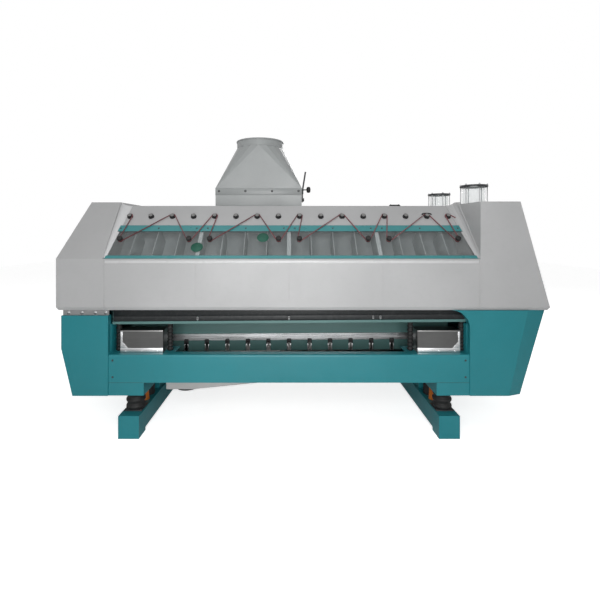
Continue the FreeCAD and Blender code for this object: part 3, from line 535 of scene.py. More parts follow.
def painted(name, value, roughness, worn=1.18, grain=0.05, radius=0.0022):
    """Satin powder paint: faint clouding, an orange-peel skin, and paler rubbed edges."""
    finish = Finish(name, roughness)
    cloud = finish.spread(finish.noise(2.6, 4.0), 0.35, 0.68)
    dust = finish.spread(finish.noise(34.0, 5.0), 0.52, 0.76)
    body = finish.blend(cloud, tinted(value, 0.955), tinted(value, 1.045))
    body = finish.blend(finish.spread(dust, 0.0, 1.0, 0.0, 0.22), body, tinted(value, 0.86))
    normal, edge = finish.edges(radius)
    rub = finish.node("ShaderNodeMath", operation="MULTIPLY")
    finish.link(edge, rub.inputs[0])
    finish.link(finish.spread(finish.noise(60.0, 3.0), 0.4, 0.66, 0.15, 0.75), rub.inputs[1])
    finish.put("Base Color", finish.blend(rub.outputs["Value"], body, tinted(value, worn)))
    patches = finish.noise(9.0, 4.0)
    finish.put("Roughness", finish.spread(patches, 0.3, 0.7, roughness - 0.05, roughness + 0.07))
    finish.relief(finish.noise(620.0, 2.0), grain, 0.0006, normal)
    finish.setting("Specular IOR Level", 0.45)
    return finish.material


def brushed(name, value, roughness, along=(4.0, 4.0, 420.0), radius=0.0015):
    """Brushed or drawn metal, with fine lines along it and a few dull patches."""
    finish = Finish(name, roughness, 1.0)
    lines = finish.noise(1.0, 5.0, finish.stretched(along))
    cloud = finish.spread(finish.noise(5.0, 4.0), 0.35, 0.7)
    body = finish.blend(cloud, tinted(value, 0.86), tinted(value, 1.06))
    body = finish.blend(finish.spread(lines, 0.45, 0.7, 0.0, 0.35), body, tinted(value, 0.72))
    normal, edge = finish.edges(radius)
    rub = finish.spread(edge, 0.0, 1.0, 0.0, 0.6)
    finish.put("Base Color", finish.blend(rub, body, tinted(value, 1.35)))
    finish.put("Roughness", finish.spread(lines, 0.3, 0.7, roughness - 0.08, roughness + 0.1))
    finish.relief(lines, 0.12, 0.0004, normal)
    return finish.material


def moulded(name, value, roughness, grain=0.12):
    """Moulded rubber or plastic: a fine grain, greyed edges and a little dust."""
    finish = Finish(name, roughness)
    dust = finish.spread(finish.noise(70.0, 5.0), 0.5, 0.8, 0.0, 0.45)
    body = finish.blend(dust, tinted(value, 0.9), tinted(tuple(channel + 0.02 for channel in value), 1.3))
    normal, edge = finish.edges(0.0005)
    worn = tuple(channel + 0.035 for channel in value)
    rub = finish.spread(edge, 0.0, 1.0, 0.0, 0.35)
    finish.put("Base Color", finish.blend(rub, body, tinted(worn, 1.2)))
    patches = finish.noise(40.0, 3.0)
    finish.put("Roughness", finish.spread(patches, 0.3, 0.7, roughness - 0.08, roughness + 0.08))
    finish.relief(finish.noise(900.0, 2.0), grain, 0.0005, normal)
    finish.setting("Specular IOR Level", 0.3)
    return finish.material


def braided(name, value):
    """Braided cord: a diagonal weave with painted shade in its hollows, and darker where it is soiled."""
    finish = Finish(name, 0.75)
    weave = finish.node("ShaderNodeTexWave", bands_direction="DIAGONAL")
    weave.inputs["Scale"].default_value = 260.0
    weave.inputs["Distortion"].default_value = 1.5
    finish.link(finish.place, weave.inputs["Vector"])
    soil = finish.spread(finish.noise(7.0, 3.0), 0.42, 0.62)
    body = finish.blend(finish.spread(soil, 0.0, 1.0, 0.0, 0.7), tinted(value, 1.1), tinted(value, 0.25))
    # The weave darkens the colour as painted shade.
    finish.put("Base Color", finish.blend(finish.spread(weave.outputs["Fac"], 0.0, 1.0, 0.0, 0.5), body,
                                          tinted(value, 0.5)))
    finish.relief(weave.outputs["Fac"], 0.5, 0.0005)
    finish.setting("Sheen Weight", 0.3)
    return finish.material


def clear(name, value, roughness, haze):
    """Clear plastic: see-through, a little hazy, with faint dust and fine scratches."""
    finish = Finish(name, roughness)
    lines = finish.noise(1.0, 4.0, finish.stretched((5.0, 90.0, 90.0)))
    dust = finish.spread(finish.noise(26.0, 5.0), 0.45, 0.8)
    finish.put("Base Color", finish.blend(dust, tinted(value, 1.0), tinted(value, 0.86)))
    finish.put("Roughness", finish.spread(lines, 0.4, 0.8, roughness, roughness + 0.1))
    finish.put("Alpha", finish.spread(dust, 0.0, 1.0, haze, haze + 0.04))
    finish.relief(lines, 0.03, 0.0003)
    finish.setting("IOR", 1.49)
    return finish.material


# Each finish: how it is made, its colour, how much lighter or darker that is, and its maker's settings.
FINISHES = {
    "hood_paint": (painted, "hood", 1.0, 0.36),
    # A paler copy of the hood paint: a painted highlight on the sill fold and in the hollow corners.
    "sill_paint": (painted, "hood", 1.45, 0.3),
    # A darker copy of the hood grey, as painted shade on the duct.
    "duct_paint": (painted, "duct", 1.0, 0.34),
    "base_paint": (painted, "base", 1.0, 0.33, 1.35),
    "rail_paint": (painted, "rail", 1.0, 0.3, 1.25),
    "inner_paint": (painted, "inner", 1.0, 0.55, 1.1, 0.08),
    "boat_paint": (painted, "boat", 1.0, 0.42, 1.4, 0.08),
    "seat_paint": (painted, "hood", 0.55, 0.45),
    "flap_paint": (painted, "boat", 0.8, 0.35, 1.3, 0.05),
    "dark_steel": (painted, "dark", 1.0, 0.4, 2.0, 0.06, 0.001),
    "stainless_sheet": (brushed, "steel", 1.0, 0.36),
    # The stainless at a third of its colour, as painted shade on the spring covers.
    "cover_sheet": (brushed, "steel", 0.34, 0.34),
    "aluminium_rail": (brushed, "drawn", 1.0, 0.3, (5.0, 300.0, 300.0)),
    "zinc_plate": (brushed, "zinc", 1.0, 0.34, (200.0, 200.0, 200.0), 0.0006),
    "bolt_steel": (brushed, "zinc", 0.3, 0.4, (200.0, 200.0, 200.0)),
    "black_knob": (moulded, "black", 1.0, 0.58, 0.05),
    "knob_cap": (moulded, "cap", 1.0, 0.42, 0.05),
    "black_rubber": (moulded, "rubber", 1.0, 0.6),
    "grey_rubber": (moulded, "seal", 1.0, 0.42, 0.03),
    "orange_rubber": (moulded, "orange", 1.0, 0.45),
    "green_disc": (moulded, "disc", 1.0, 0.5, 0.03),
    "red_cord": (braided, "cord", 1.0),
    "clear_sheet": (clear, "clear", 1.0, 0.05, 0.04),
    "clear_tube": (clear, "clear", 1.0, 0.05, 0.12),
}


def finish_of(name):
    """The finish of that name, made when it is first asked for."""
    made = bpy.data.materials.get("purifier_" + name)
    if made is None:
        maker, key, factor, *settings = FINISHES[name]
        made = maker(name, tuple(channel * factor for channel in getattr(colours(), key)), *settings)
    return made


# pieces


class PURIFIER_OT_stage(bpy.types.Operator):
    """Set up the floor, the lamps, the sky and the camera"""

    bl_idname = "purifier.stage"
    bl_label = "Stage"

    def execute(self, context):
        studio = context.scene.purifier_studio
        context.scene.view_settings.view_transform = "Standard"
        self.make_sky(context.scene, studio.sky)
        self.make_floor()
        self.make_lamp("key_lamp", (-0.1, -3.0, 1.1), (0.0, -0.5, 0.75), 1.7, studio.key)
        self.make_lamp("fill_lamp", (-0.6, -2.4, 4.4), (0.0, -0.3, 1.0), 2.5, studio.fill)
        self.make_lamp("back_lamp", (0.8, 4.2, 3.4), (0.0, 0.3, 0.8), 2.5, studio.back)
        self.make_camera(context.scene, studio.focal)
        return {"FINISHED"}

    def make_sky(self, scene, strength):
        world = bpy.data.worlds.new("studio_sky")
        scene.world = world
        world.use_nodes = True
        tree = world.node_tree
        link = tree.links.new
        background = tree.nodes["Background"]
        background.inputs["Color"].default_value = (1.0, 1.0, 1.0, 1.0)
        path = tree.nodes.new("ShaderNodeLightPath").outputs
        white = path["Is Camera Ray"]
        for ray in ("Is Transmission Ray", "Is Glossy Ray"):
            either = tree.nodes.new("ShaderNodeMath")
            either.operation = "MAXIMUM"
            link(white, either.inputs[0])
            link(path[ray], either.inputs[1])
            white = either.outputs["Value"]
        level = tree.nodes.new("ShaderNodeMapRange")
        level.inputs["To Min"].default_value = strength
        level.inputs["To Max"].default_value = 1.0
        link(white, level.inputs["Value"])
        link(level.outputs["Result"], background.inputs["Strength"])

    def make_floor(self):
        bm = bmesh.new()
        corners = [(-9.0, -6.0, 0.0), (9.0, -6.0, 0.0), (9.0, 14.0, 0.0), (-9.0, 14.0, 0.0)]
        bm.faces.new([bm.verts.new(corner) for corner in corners])
        mesh = bpy.data.meshes.new("floor")
        bm.to_mesh(mesh)
        bm.free()
        floor = add_object("floor", mesh)
        material = bpy.data.materials.new("floor_white")
        material.use_nodes = True
        tree = material.node_tree
        link = tree.links.new
        shader = tree.nodes["Principled BSDF"]
        shader.inputs["Base Color"].default_value = (0.9, 0.9, 0.9, 1.0)
        shader.inputs["Roughness"].default_value = 0.9
        shader.inputs["Specular IOR Level"].default_value = 0.1
        glow = tree.nodes.new("ShaderNodeEmission")
        glow.inputs["Color"].default_value = (1.0, 1.0, 1.0, 1.0)
        path = tree.nodes.new("ShaderNodeLightPath")
        level = tree.nodes.new("ShaderNodeMapRange")
        level.inputs["To Min"].default_value = 0.0
        level.inputs["To Max"].default_value = 0.75
        link(path.outputs["Is Camera Ray"], level.inputs["Value"])
        link(level.outputs["Result"], glow.inputs["Strength"])
        both = tree.nodes.new("ShaderNodeAddShader")
        link(shader.outputs["BSDF"], both.inputs[0])
        link(glow.outputs["Emission"], both.inputs[1])
        link(both.outputs["Shader"], tree.nodes["Material Output"].inputs["Surface"])
        mesh.materials.append(material)
        floor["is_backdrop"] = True

    def make_lamp(self, name, place, target, size, power):
        lamp = bpy.data.lights.new(name, "AREA")
        lamp.shape = "SQUARE"
        lamp.size = size
        lamp.energy = power
        holder = add_object(name, lamp)
        holder.location = place
        holder.rotation_mode = "QUATERNION"
        holder.rotation_quaternion = (Vector(target) - Vector(place)).to_track_quat("-Z", "Y")

    def make_camera(self, scene, focal):
        camera = bpy.data.cameras.new("camera")
        camera.lens = focal
        camera.sensor_width = 36.0
        camera.shift_x = 11.0 / FRAME
        camera.shift_y = -68.5 / FRAME
        camera.clip_end = 60.0
        holder = add_object("camera", camera)
        holder.location = (-0.075, -2.795, 1.113)
        holder.rotation_euler = (math.radians(90.0), 0.0, 0.0)
        scene.camera = holder


class PURIFIER_OT_hood(bpy.types.Operator):
    """Paint the hood and add its seams, the painted highlights on its sill fold and in its hollow corners,
    its bolts, the grip on its roof and the strap by a knob
    """

    bl_idname = "purifier.hood"
    bl_label = "Hood"

    def execute(self, context):
        dress("hood_paint", "discharge_hood_end", "feed_hood_end", "front_fascia", "rear_fascia",
              "front_knob_strip", "rear_knob_strip", "hood_roof")
        dress("seat_paint", "hood_seat")
        seams = bmesh.new()
        foot = FASCIA_LOW.z + 0.016
        for x in SEAM_X:
            add_box(seams, (x - 0.002, FACE_Y - 0.0012, foot), (x + 0.002, FACE_Y, SILL_Z - 0.009), 0.0005)
        for i in range(1, BAY_COUNT):
            x = BAY_LEFT + i * BAY
            add_box(seams, (x - 0.0004, FACE_Y - 0.0004, foot), (x + 0.0004, FACE_Y, SILL_Z - 0.01))
        make_pair("hood_seams", seams, ("hood_paint",), "hood_paint")
        # A paler strip along the fascia's top fold, as a painted highlight.
        sill_highlights = bmesh.new()
        add_box(sill_highlights, (-1.064, FACE_Y - 0.0006, 0.942), (0.943, FACE_Y + 0.0004, 0.9575), 0.0003)
        make_pair("sill_folds", sill_highlights, ("sill_paint",), "hood_paint")
        # Paler sheets in the hollow corners, as painted highlights.
        make_pair("corner_strips", self.corner_strips(), ("sill_paint",), "hood_paint", sharp=50.0)
        bolts = bmesh.new()
        low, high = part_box("hood_seat")
        middle = (low.z + high.z) / 2
        for x in SEAT_BOLT_X:
            add_bolt(bolts, facing((x, low.y, middle), (0, -1, 0)), sizes().bolt * 0.8)
        make_pair("hood_seat_bolts", bolts, ("zinc_plate",), "dark_steel")
        make_piece("roof_handle", self.handle(), ("black_rubber",), "black_rubber")
        make_piece("roof_strap", self.strap(), ("black_rubber",), "black_rubber")
        return {"FINISHED"}

    def handle(self):
        """A low black grip screwed down on the roof."""
        bm = bmesh.new()
        y, half, rise = -0.34, 0.009, 0.0095
        side = ((0.54, 0.0), (0.54, 0.005), (0.545, rise), (0.601, rise), (0.606, 0.005), (0.606, 0.0))
        add_prism(bm, [(x, y - half, ROOF_Z + up) for x, up in side], (0, 0.018, 0), 0.0018, 0, 3)
        for x in (0.549, 0.597):
            add_screw(bm, upright(x, y, ROOF_Z + rise), 0.0035)
        return bm

    def strap(self):
        """A short black strap bent round the upper side of an air knob."""
        bm = bmesh.new()
        x = knob_x(14) + 0.004
        points = [on_slope(x + reach, along, 0.0035) for reach, along in (
            (-0.028, 0.329), (-0.022, 0.334), (-0.012, 0.337), (0.0, 0.338), (0.012, 0.337),
            (0.022, 0.334), (0.028, 0.329))]
        add_swept(bm, points, 0.0034, 10)
        return bm

    def corner_strips(self):
        """The pale sheet in the hollow corner between slope and discharge end, wider towards the roof, as a
        painted highlight.
        """
        bm = bmesh.new()
        rings = []
        for along, reach in ((0.004, 0.0125), (SLOPE - 0.002, 0.0535)):
            line = []
            for i in range(5):
                turn = math.pi / 2 * (1 - i / 4)
                out = CORNER_CLIMB * reach / CORNER_REACH * (1 - math.cos(turn))
                line.append(on_slope(BAY_LEFT + reach * (1 - math.sin(turn)), along, out))
            lift = on_slope(0.0006, 0.0, 0.0006) - on_slope(0.0, 0.0, 0.0)
            rings.append(line + [point + lift for point in reversed(line)])
        add_rings(bm, rings)
        bmesh.ops.recalc_face_normals(bm, faces=bm.faces)
        return bm


class PURIFIER_OT_windows(bpy.types.Operator):
    """Finish the windows, their rails and the cells behind them, and add screws, beads and discs"""

    bl_idname = "purifier.windows"
    bl_label = "Windows"

    def execute(self, context):
        dress("rail_paint", "front_window_rails", "rear_window_rails")
        dress("clear_sheet", "front_windows", "rear_windows")
        dress("inner_paint", "front_cells", "rear_cells")
        screws = bmesh.new()
        for i in range(BAY_COUNT):
            for step in (0.034, 0.252, 0.47):
                add_screw(screws, slope_place(BAY_LEFT + i * BAY + step, RAIL_ALONG, 0.002), sizes().screw)
        make_pair("rail_screws", screws, ("dark_steel",), "dark_steel")
        discs = bmesh.new()
        radius = sizes().disc
        for x, along in ((-0.584, 0.079), (-0.222, 0.15)):
            add_turned(discs, slope_place(x, along, 0.0002), [
                (radius, 0.0), (radius, 0.001), (radius - 0.0006, 0.0016), (0.0, 0.0016),
            ], 48)
        make_piece("window_discs", discs, ("green_disc",), "black_knob")
        beads = bmesh.new()
        for i in range(BAY_COUNT):
            x0 = BAY_LEFT + i * BAY + 0.003
            add_box_on_slope(beads, x0, x0 + BAY - 0.006, 0.193, 0.1965, 0.0, 0.0022)
        make_pair("window_beads", beads, ("dark_steel",), "dark_steel")
        return {"FINISHED"}


class PURIFIER_OT_knobs(bpy.types.Operator):
    """Make the air knobs and the window latches, and finish the lacing between them"""

    bl_idname = "purifier.knobs"
    bl_label = "Knobs"

    def execute(self, context):
        knobs = bmesh.new()
        radius = sizes().knob
        for i in range(BAY_COUNT * CELLS_PER_BAY):
            place = slope_place(knob_x(i), KNOB_ALONG)
            add_turned(knobs, place, [
                (radius + 0.004, 0.0), (radius + 0.004, 0.0032), (radius + 0.003, 0.0045),
                (radius + 0.0008, 0.005),
            ], 36)
            add_fluted(knobs, place, radius + 0.0006, 0.005, 0.015, 18)
            add_turned(knobs, place, [
                (radius + 0.0004, 0.015), (radius - 0.0008, 0.0164), (radius - 0.0022, 0.0168),
            ], 36)
            add_turned(knobs, place, [
                (radius - 0.0022, 0.0168), (radius - 0.0036, 0.0158), (radius * 0.35, 0.0146),
                (0.0, 0.0144),
            ], 36, 1)
        make_pair("air_knobs_fine", knobs, ("black_knob", "knob_cap"), "black_knob",
                  replaces="air_knobs")
        latches = bmesh.new()
        radius = sizes().latch
        for i in range(BAY_COUNT * 2):
            place = slope_place(latch_x(i), LATCH_ALONG)
            add_turned(latches, place, [
                (radius - 0.002, 0.0), (radius - 0.002, 0.0022), (radius * 0.6, 0.003),
                (radius * 0.6, 0.0102), (radius - 0.0015, 0.0106), (radius, 0.0124), (radius, 0.024),
                (radius - 0.002, 0.0268), (radius - 0.006, 0.028), (radius - 0.0095, 0.0272), (0.0, 0.0268),
            ], 32)
        make_pair("window_latches_fine", latches, ("black_rubber",), "black_knob",
                  replaces="window_latches")
        dress("red_cord", "window_lacing")
        return {"FINISHED"}


class PURIFIER_OT_duct(bpy.types.Operator):
    """Paint the duct and add its skirt, its bolts and its rolled lip"""

    bl_idname = "purifier.duct"
    bl_label = "Duct"

    def execute(self, context):
        # The duct's paint holds painted shade: it is darker than the hood's.
        dress("duct_paint", "exhaust_duct", "exhaust_collar")
        fold = 0.001
        left, right = DUCT_X - DUCT_HALF_X, DUCT_X + DUCT_HALF_X
        outer_x, outer_y = DUCT_HALF_X + fold, DUCT_HALF_Y + fold
        skirt = bmesh.new()
        for y0, y1 in ((-outer_y, -DUCT_HALF_Y), (DUCT_HALF_Y, outer_y)):
            add_box(skirt, (left - fold, y0, SKIRT_LOW), (right + fold, y1, SKIRT_HIGH), 0.0004)
        for x0, x1 in ((left - fold, left), (right, right + fold)):
            add_box(skirt, (x0, -DUCT_HALF_Y, SKIRT_LOW), (x1, DUCT_HALF_Y, SKIRT_HIGH), 0.0004)
        add_lip(skirt, (DUCT_X, 0.0, LIP_Z), LIP_RADIUS, 0.0034)
        make_piece("duct_skirt", skirt, ("duct_paint",), "hood_paint")
        bolts = bmesh.new()
        for x in (-0.262, -0.087, 0.089, 0.264):
            add_bolt(bolts, facing((DUCT_X + x, -outer_y, SKIRT_BOLT_Z), (0, -1, 0)), sizes().bolt * 0.7)
        for x in (-0.24, -0.08, 0.08, 0.24):
            add_bolt(bolts, upright(DUCT_X + x, -DUCT_HALF_Y - 0.008, ROOF_Z + 0.004), sizes().bolt * 0.8)
        add_rear(bolts)
        for y in (-0.09, 0.09):
            for side in (-1, 1):
                place = facing((DUCT_X + side * outer_x, y, SKIRT_BOLT_Z), (side, 0, 0))
                add_bolt(bolts, place, sizes().bolt * 0.7)
        make_piece("duct_bolts", bolts, ("bolt_steel",), "dark_steel")
        return {"FINISHED"}


class PURIFIER_OT_damper(bpy.types.Operator):
    """Make the damper's lever and knob, and finish its blade and quadrant"""

    bl_idname = "purifier.damper"
    bl_label = "Damper"

    def execute(self, context):
        dress("dark_steel", "damper_quadrant")
        dress("stainless_sheet", "damper_blade")
        x, z, knee = LEVER_X, SHAFT_Z, KNEE_Z
        lever = bmesh.new()
        half = [(-0.007, knee + 0.008), (-0.01, z + 0.03), (-0.016, z + 0.004), (-0.013, z - 0.013)]
        outline = half + [(0.0, z - 0.018)] + [(-y, rise) for y, rise in reversed(half)]
        add_prism(lever, [(x, y, rise) for y, rise in outline], (0.006, 0, 0), 0.0012)
        bar = [(x + 0.003, 0, knee - 0.03), (x + 0.003, 0, knee), (x + 0.023, 0, LEVER_TOP_Z)]
        add_swept(lever, bar, 0.0056, 14)
        add_turned(lever, facing((x + 0.006, 0, z), (1, 0, 0)), [
            (0.013, 0.0), (0.013, 0.006), (0.0115, 0.0072), (0.006, 0.0074), (0.0, 0.0074),
        ], 6)
        add_turned(lever, facing((x + 0.006, 0, knee), (1, 0, 0)), [
            (0.009, 0.0), (0.009, 0.004), (0.004, 0.0042), (0.004, 0.028),
        ], 20)
        make_piece("damper_lever_fine", lever, ("dark_steel",), "dark_steel", "damper",
                   replaces="damper_lever")
        knob = bmesh.new()
        centre = (BALL_LOW + BALL_HIGH) / 2
        profile = [(0.0, -0.021)]
        for i in range(1, 12):
            angle = math.pi * i / 12
            profile.append((0.0145 * math.sin(angle) ** 0.5, -0.021 * math.cos(angle)))
        profile.append((0.0, 0.021))
        add_turned(knob, Matrix.Translation(centre), profile, 32)
        make_piece("damper_knob_fine", knob, ("black_knob",), "black_knob", "damper",
                   replaces="damper_ball")
        return {"FINISHED"}


class PURIFIER_OT_inlets(bpy.types.Operator):
    """Make the two feed inlets with their sight glasses, rings and tie rods"""

    bl_idname = "purifier.inlets"
    bl_label = "Inlets"

    def execute(self, context):
        x, y, base, rise, bore = INLET_X, INLET_Y, INLET_FOOT, INLET_RISE, INLET_BORE
        frames, glasses = bmesh.new(), bmesh.new()
        ring = [(bore, 0.0), (0.0812, 0.0), (0.082, 0.0008), (0.082, 0.0112), (0.0812, 0.012),
                (bore, 0.012), (bore, 0.0)]
        low, high = upright(x, y, base), upright(x, y, base + rise - 0.012)
        add_turned(frames, low, ring, 56)
        add_turned(frames, high, ring, 56)
        for i in range(6):
            angle = 2 * math.pi * (i + 0.5) / 6
            foot = upright(x + 0.076 * math.cos(angle), y + 0.076 * math.sin(angle), base)
            add_turned(frames, foot, [(0.003, 0.012), (0.003, rise + 0.008), (0.0, rise + 0.008)], 12, 1)
            add_turned(frames, foot, [
                (0.006, rise), (0.006, rise + 0.0045), (0.005, rise + 0.0052), (0.0, rise + 0.0052),
            ], 6, 1)
        add_turned(glasses, low, [
            (bore, 0.012), (0.07, 0.012), (0.07, rise - 0.012), (bore, rise - 0.012), (bore, 0.012),
        ], 56)
        make_pair("feed_inlet_frames_fine", frames, ("dark_steel", "zinc_plate"), "dark_steel",
                  replaces="feed_inlet_frames")
        make_pair("feed_inlet_glasses_fine", glasses, ("clear_tube",), "clear_sheet",
                  replaces="feed_inlet_glasses")
        return {"FINISHED"}


class PURIFIER_OT_base(bpy.types.Operator):
    """Paint the housings, beams and legs, and add their screws, seams and inner cheeks"""

    bl_idname = "purifier.base"
    bl_label = "Base"

    def execute(self, context):
        dress("base_paint", "cross_members", "front_beam", "rear_beam", "leg_left", "leg_right",
              "discharge_front_panel", "discharge_rear_panel", "discharge_end_panel",
              "feed_front_panel", "feed_rear_panel", "feed_end_panel")
        screws = bmesh.new()
        for x in (BEAM_LOW.x + 0.022, BEAM_HIGH.x - 0.022):
            for z in (BEAM_LOW.z + 0.03, BEAM_HIGH.z - 0.03):
                add_screw(screws, facing((x, BEAM_LOW.y, z), (0, -1, 0)), sizes().screw * 1.2)
        make_pair("base_screws", screws, ("dark_steel",), "dark_steel")
        seams = bmesh.new()
        for x0, x1 in ((BEAM_LOW.x + 0.001, -0.857), (0.72, BEAM_HIGH.x - 0.001)):
            add_box(seams, (x0, BEAM_LOW.y - 0.0004, 0.2994), (x1, BEAM_LOW.y + 0.0004, 0.3008))
        make_pair("base_seams", seams, ("dark_steel",), "base_paint")
        cheeks = bmesh.new()
        low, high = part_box("sieve_boat_front")
        for x0, x1 in ((low.x - 0.0045, low.x - 0.0025), (high.x + 0.0025, high.x + 0.0045)):
            add_box(cheeks, (x0, -0.615, BEAM_HIGH.z - 0.001), (x1, -0.5, 0.608), 0.0006)
        make_pair("housing_cheeks", cheeks, ("base_paint",), "base_paint")
        return {"FINISHED"}


class PURIFIER_OT_leg_mounts(bpy.types.Operator):
    """Make the rubber springs, stops and buffers on the legs, with their steel plates"""

    bl_idname = "purifier.leg_mounts"
    bl_label = "Leg mounts"

    def execute(self, context):
        springs, stops, buffers, plates = bmesh.new(), bmesh.new(), bmesh.new(), bmesh.new()
        low, top = MOUNT_LOW, MOUNT_TOP
        for x in LEG_X:
            profile = ribs(low, top, 0.052, 0.0445, sizes().ribs)
            add_turned(springs, upright(x, LEG_SPRING_Y), profile, 44)
            for z0, z1 in ((low + 0.0002, low + 0.005), (top - 0.005, top - 0.0002)):
                add_box(plates, (x - 0.0505, -0.5915, z0), (x + 0.0505, -0.4905, z1), 0.0008)
            for side in (-1, 1):
                add_bolt(plates, upright(x + side * 0.045, -0.586, low + 0.005), sizes().bolt * 0.55)
            add_turned(stops, upright(x, STOP_Y), [
                (0.033, low), (0.033, low + 0.004), (0.03, low + 0.01), (0.0285, (low + top) / 2),
                (0.03, top - 0.01), (0.033, top - 0.004), (0.033, top),
            ], 36)
            add_turned(buffers, upright(x, BUFFER_Y), [
                (0.036, low), (0.036, top - 0.012), (0.034, top - 0.004), (0.03, top),
            ], 36)
        make_pair("leg_springs_fine", springs, ("black_rubber",), "black_rubber",
                  replaces="leg_springs")
        make_pair("orange_stops_fine", stops, ("orange_rubber",), "orange_rubber",
                  replaces="orange_stops")
        make_pair("rubber_buffers_fine", buffers, ("black_rubber",), "black_rubber",
                  replaces="rubber_buffers")
        make_pair("leg_plates", plates, ("dark_steel",), "dark_steel")
        return {"FINISHED"}


class PURIFIER_OT_boats(bpy.types.Operator):
    """Finish the sieve boats and make their seals, skirts, clamps and rubber springs"""

    bl_idname = "purifier.boats"
    bl_label = "Boats"

    def execute(self, context):
        dress("boat_paint", "sieve_boat_front", "sieve_boat_rear")
        low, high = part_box("boat_seals")
        seals, clamps, springs = bmesh.new(), bmesh.new(), bmesh.new()
        for i in range(BAY_COUNT):
            x0 = max(BAY_LEFT + i * BAY, low.x) + 0.003
            x1 = min(BAY_LEFT + (i + 1) * BAY, high.x) - 0.003
            add_seal(seals, x0, x1)
        hems = bmesh.new()
        add_box(hems, (low.x, -0.6035, 0.648), (high.x, -0.6005, 0.705), 0.0006)
        make_pair("boat_skirts", hems, ("grey_rubber",), "grey_rubber")
        for x in (BAY_LEFT + BAY, BAY_LEFT + 2 * BAY, BAY_LEFT + 3 * BAY, BAY_LEFT + 3 * BAY - 0.04):
            z = SEAL_LOW + tilt(x)
            add_box(clamps, (x - 0.005, -0.6105, z + 0.006), (x + 0.005, -0.6078, z + 0.024), 0.001)
            add_screw(clamps, facing((x, -0.6105, z + 0.017), (0, -1, 0)), sizes().screw * 0.7, 1)
        for x in spring_places():
            top = BOAT_BOTTOM + tilt(x) - 0.0003
            profile = ribs(SHELF_TOP, top, 0.0165, 0.0125, sizes().boat_ribs)
            add_turned(springs, upright(x, BOAT_SPRING_Y), profile, 28)
        make_pair("boat_seals_fine", seals, ("grey_rubber",), "grey_rubber", replaces="boat_seals")
        make_pair("seal_clamps", clamps, ("seat_paint", "dark_steel"), "aluminium_rail")
        make_pair("boat_springs_fine", springs, ("black_rubber",), "black_rubber",
                  replaces="boat_springs")
        return {"FINISHED"}


class PURIFIER_OT_flaps(bpy.types.Operator):
    """Finish the flap rails and flaps, and make the forked clips between the flaps"""

    bl_idname = "purifier.flaps"
    bl_label = "Flaps"

    def execute(self, context):
        dress("aluminium_rail", "flap_rails")
        dress("flap_paint", "collecting_flaps")
        fork = ((-0.013, -0.02), (-0.013, 0.006), (-0.009, 0.01), (0.009, 0.01), (0.013, 0.006),
                (0.013, -0.02), (0.007, -0.02), (0.007, -0.012), (-0.007, -0.012), (-0.007, -0.02))
        clips = bmesh.new()
        for i in range(1, BAY_COUNT * CELLS_PER_BAY):
            x = BAY_LEFT + i * CELL
            z = RAIL_FOOT + tilt(x)
            outline = [(x + reach, CLIP_Y, z + rise) for reach, rise in fork]
            add_prism(clips, outline, (0, 0.0088, 0), 0.0008)
            for side in (-1, 1):
                add_box(clips, (x + side * 0.01 - 0.0028, -0.362, z - 0.0615),
                        (x + side * 0.01 + 0.0028, -0.3572, z - 0.02), 0.0006, 1)
        make_pair("flap_clips_fine", clips, ("black_knob", "aluminium_rail"), "black_knob",
                  replaces="flap_clips")
        return {"FINISHED"}


class PURIFIER_OT_troughs(bpy.types.Operator):
    """Finish the collecting troughs and put sleeves round their spouts"""

    bl_idname = "purifier.troughs"
    bl_label = "Troughs"

    def execute(self, context):
        dress("stainless_sheet", "collecting_trough_front", "collecting_trough_rear")
        hoops = bmesh.new()
        add_turned(hoops, upright(SPOUT_X, SPOUT_Y), [
            (0.0652, 0.186), (SLEEVE_RADIUS, 0.1862), (SLEEVE_RADIUS, 0.235), (0.0652, 0.2352),
        ], 64)
        for z in (0.1885, 0.23):
            add_lip(hoops, (SPOUT_X, SPOUT_Y, z), SLEEVE_RADIUS, 0.0024)
        make_pair("spout_sleeves", hoops, ("dark_steel",), "dark_steel")
        return {"FINISHED"}


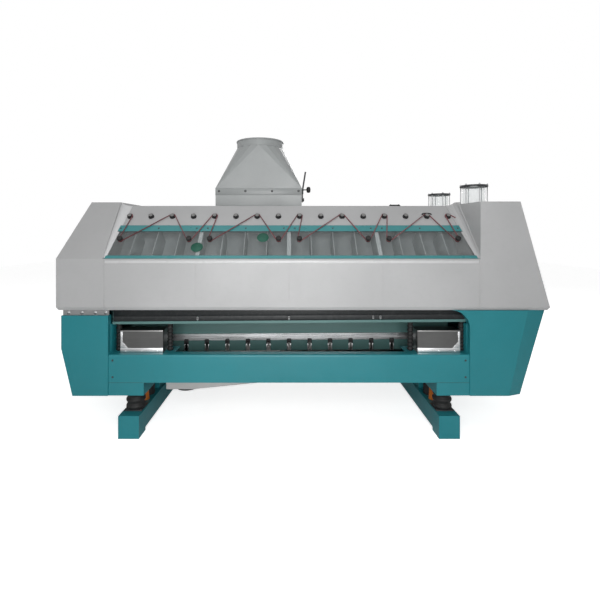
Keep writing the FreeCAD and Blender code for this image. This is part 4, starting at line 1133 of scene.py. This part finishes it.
class PURIFIER_OT_covers(bpy.types.Operator):
    """Finish the spring covers in a darker stainless as painted shade, and add their folded bands and
    screws
    """

    bl_idname = "purifier.covers"
    bl_label = "Covers"

    def execute(self, context):
        dress("cover_sheet", "spring_covers")
        low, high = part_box("spring_covers")
        bands = bmesh.new()
        fold_z, face_y = low.z + COVER_FOLD, low.y - 0.001
        for x0, outer in ((low.x, low.x), (high.x - COVER_WIDTH, high.x - 0.014)):
            x1 = low.x + COVER_WIDTH if outer == x0 else high.x
            add_box(bands, (x0 + 0.001, low.y - 0.0012, high.z - 0.005),
                    (x1 - 0.001, low.y, high.z - 0.0004), 0.0004, 1)
            add_box(bands, (outer + 0.0015, face_y, fold_z), (outer + 0.0125, low.y, high.z - 0.006),
                    0.0004)
            add_box(bands, (x0 + 0.001, face_y, low.z + 0.001), (x1 - 0.001, low.y, fold_z), 0.0004)
            inner, way = (outer + 0.0125, 1) if outer == x0 else (outer + 0.0015, -1)
            add_prism(bands, [
                (inner, face_y, fold_z), (inner + way * 0.03, face_y, fold_z),
                (inner, face_y, low.z + 0.06),
            ], (0, 0.001, 0), 0.0003)
            for x in (x0 + 0.03, (x0 + x1) / 2, x1 - 0.03):
                add_screw(bands, facing((x, face_y, low.z + 0.01), (0, -1, 0)), sizes().screw * 0.8)
        make_pair("cover_bands", bands, ("aluminium_rail", "stainless_sheet"), "stainless_sheet")
        return {"FINISHED"}


class PURIFIER_PT_panel(bpy.types.Panel):
    """Lists the purifier's colours, sizes and pieces"""

    bl_idname = "PURIFIER_PT_panel"
    bl_label = "Purifier"
    bl_space_type = "VIEW_3D"
    bl_region_type = "UI"
    bl_category = "Purifier"

    def draw(self, context):
        layout = self.layout
        for group in (context.scene.purifier_studio, colours(), sizes()):
            box = layout.box()
            for key in group.__annotations__:
                box.prop(group, key)
        for operator in OPERATORS:
            layout.operator(operator.bl_idname)


GROUPS = (PurifierColours, PurifierSizes, PurifierStudio)
OPERATORS = (
    PURIFIER_OT_stage,
    PURIFIER_OT_hood,
    PURIFIER_OT_windows,
    PURIFIER_OT_knobs,
    PURIFIER_OT_duct,
    PURIFIER_OT_damper,
    PURIFIER_OT_inlets,
    PURIFIER_OT_base,
    PURIFIER_OT_leg_mounts,
    PURIFIER_OT_boats,
    PURIFIER_OT_flaps,
    PURIFIER_OT_troughs,
    PURIFIER_OT_covers,
)


def register():
    for cls in GROUPS + OPERATORS + (PURIFIER_PT_panel,):
        bpy.utils.register_class(cls)
    bpy.types.Scene.purifier_colours = PointerProperty(type=PurifierColours)
    bpy.types.Scene.purifier_sizes = PointerProperty(type=PurifierSizes)
    bpy.types.Scene.purifier_studio = PointerProperty(type=PurifierStudio)


def unregister():
    del bpy.types.Scene.purifier_colours
    del bpy.types.Scene.purifier_sizes
    del bpy.types.Scene.purifier_studio
    for cls in reversed(GROUPS + OPERATORS + (PURIFIER_PT_panel,)):
        bpy.utils.unregister_class(cls)


def corners():
    """The lowest and highest corner of what shows, as plain lists."""
    return [list(corner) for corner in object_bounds()]


def main():
    register()
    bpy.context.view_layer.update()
    for operator in OPERATORS:
        group, name = operator.bl_idname.split(".")
        getattr(getattr(bpy.ops, group), name)()


if __name__ == "__main__":
    main()
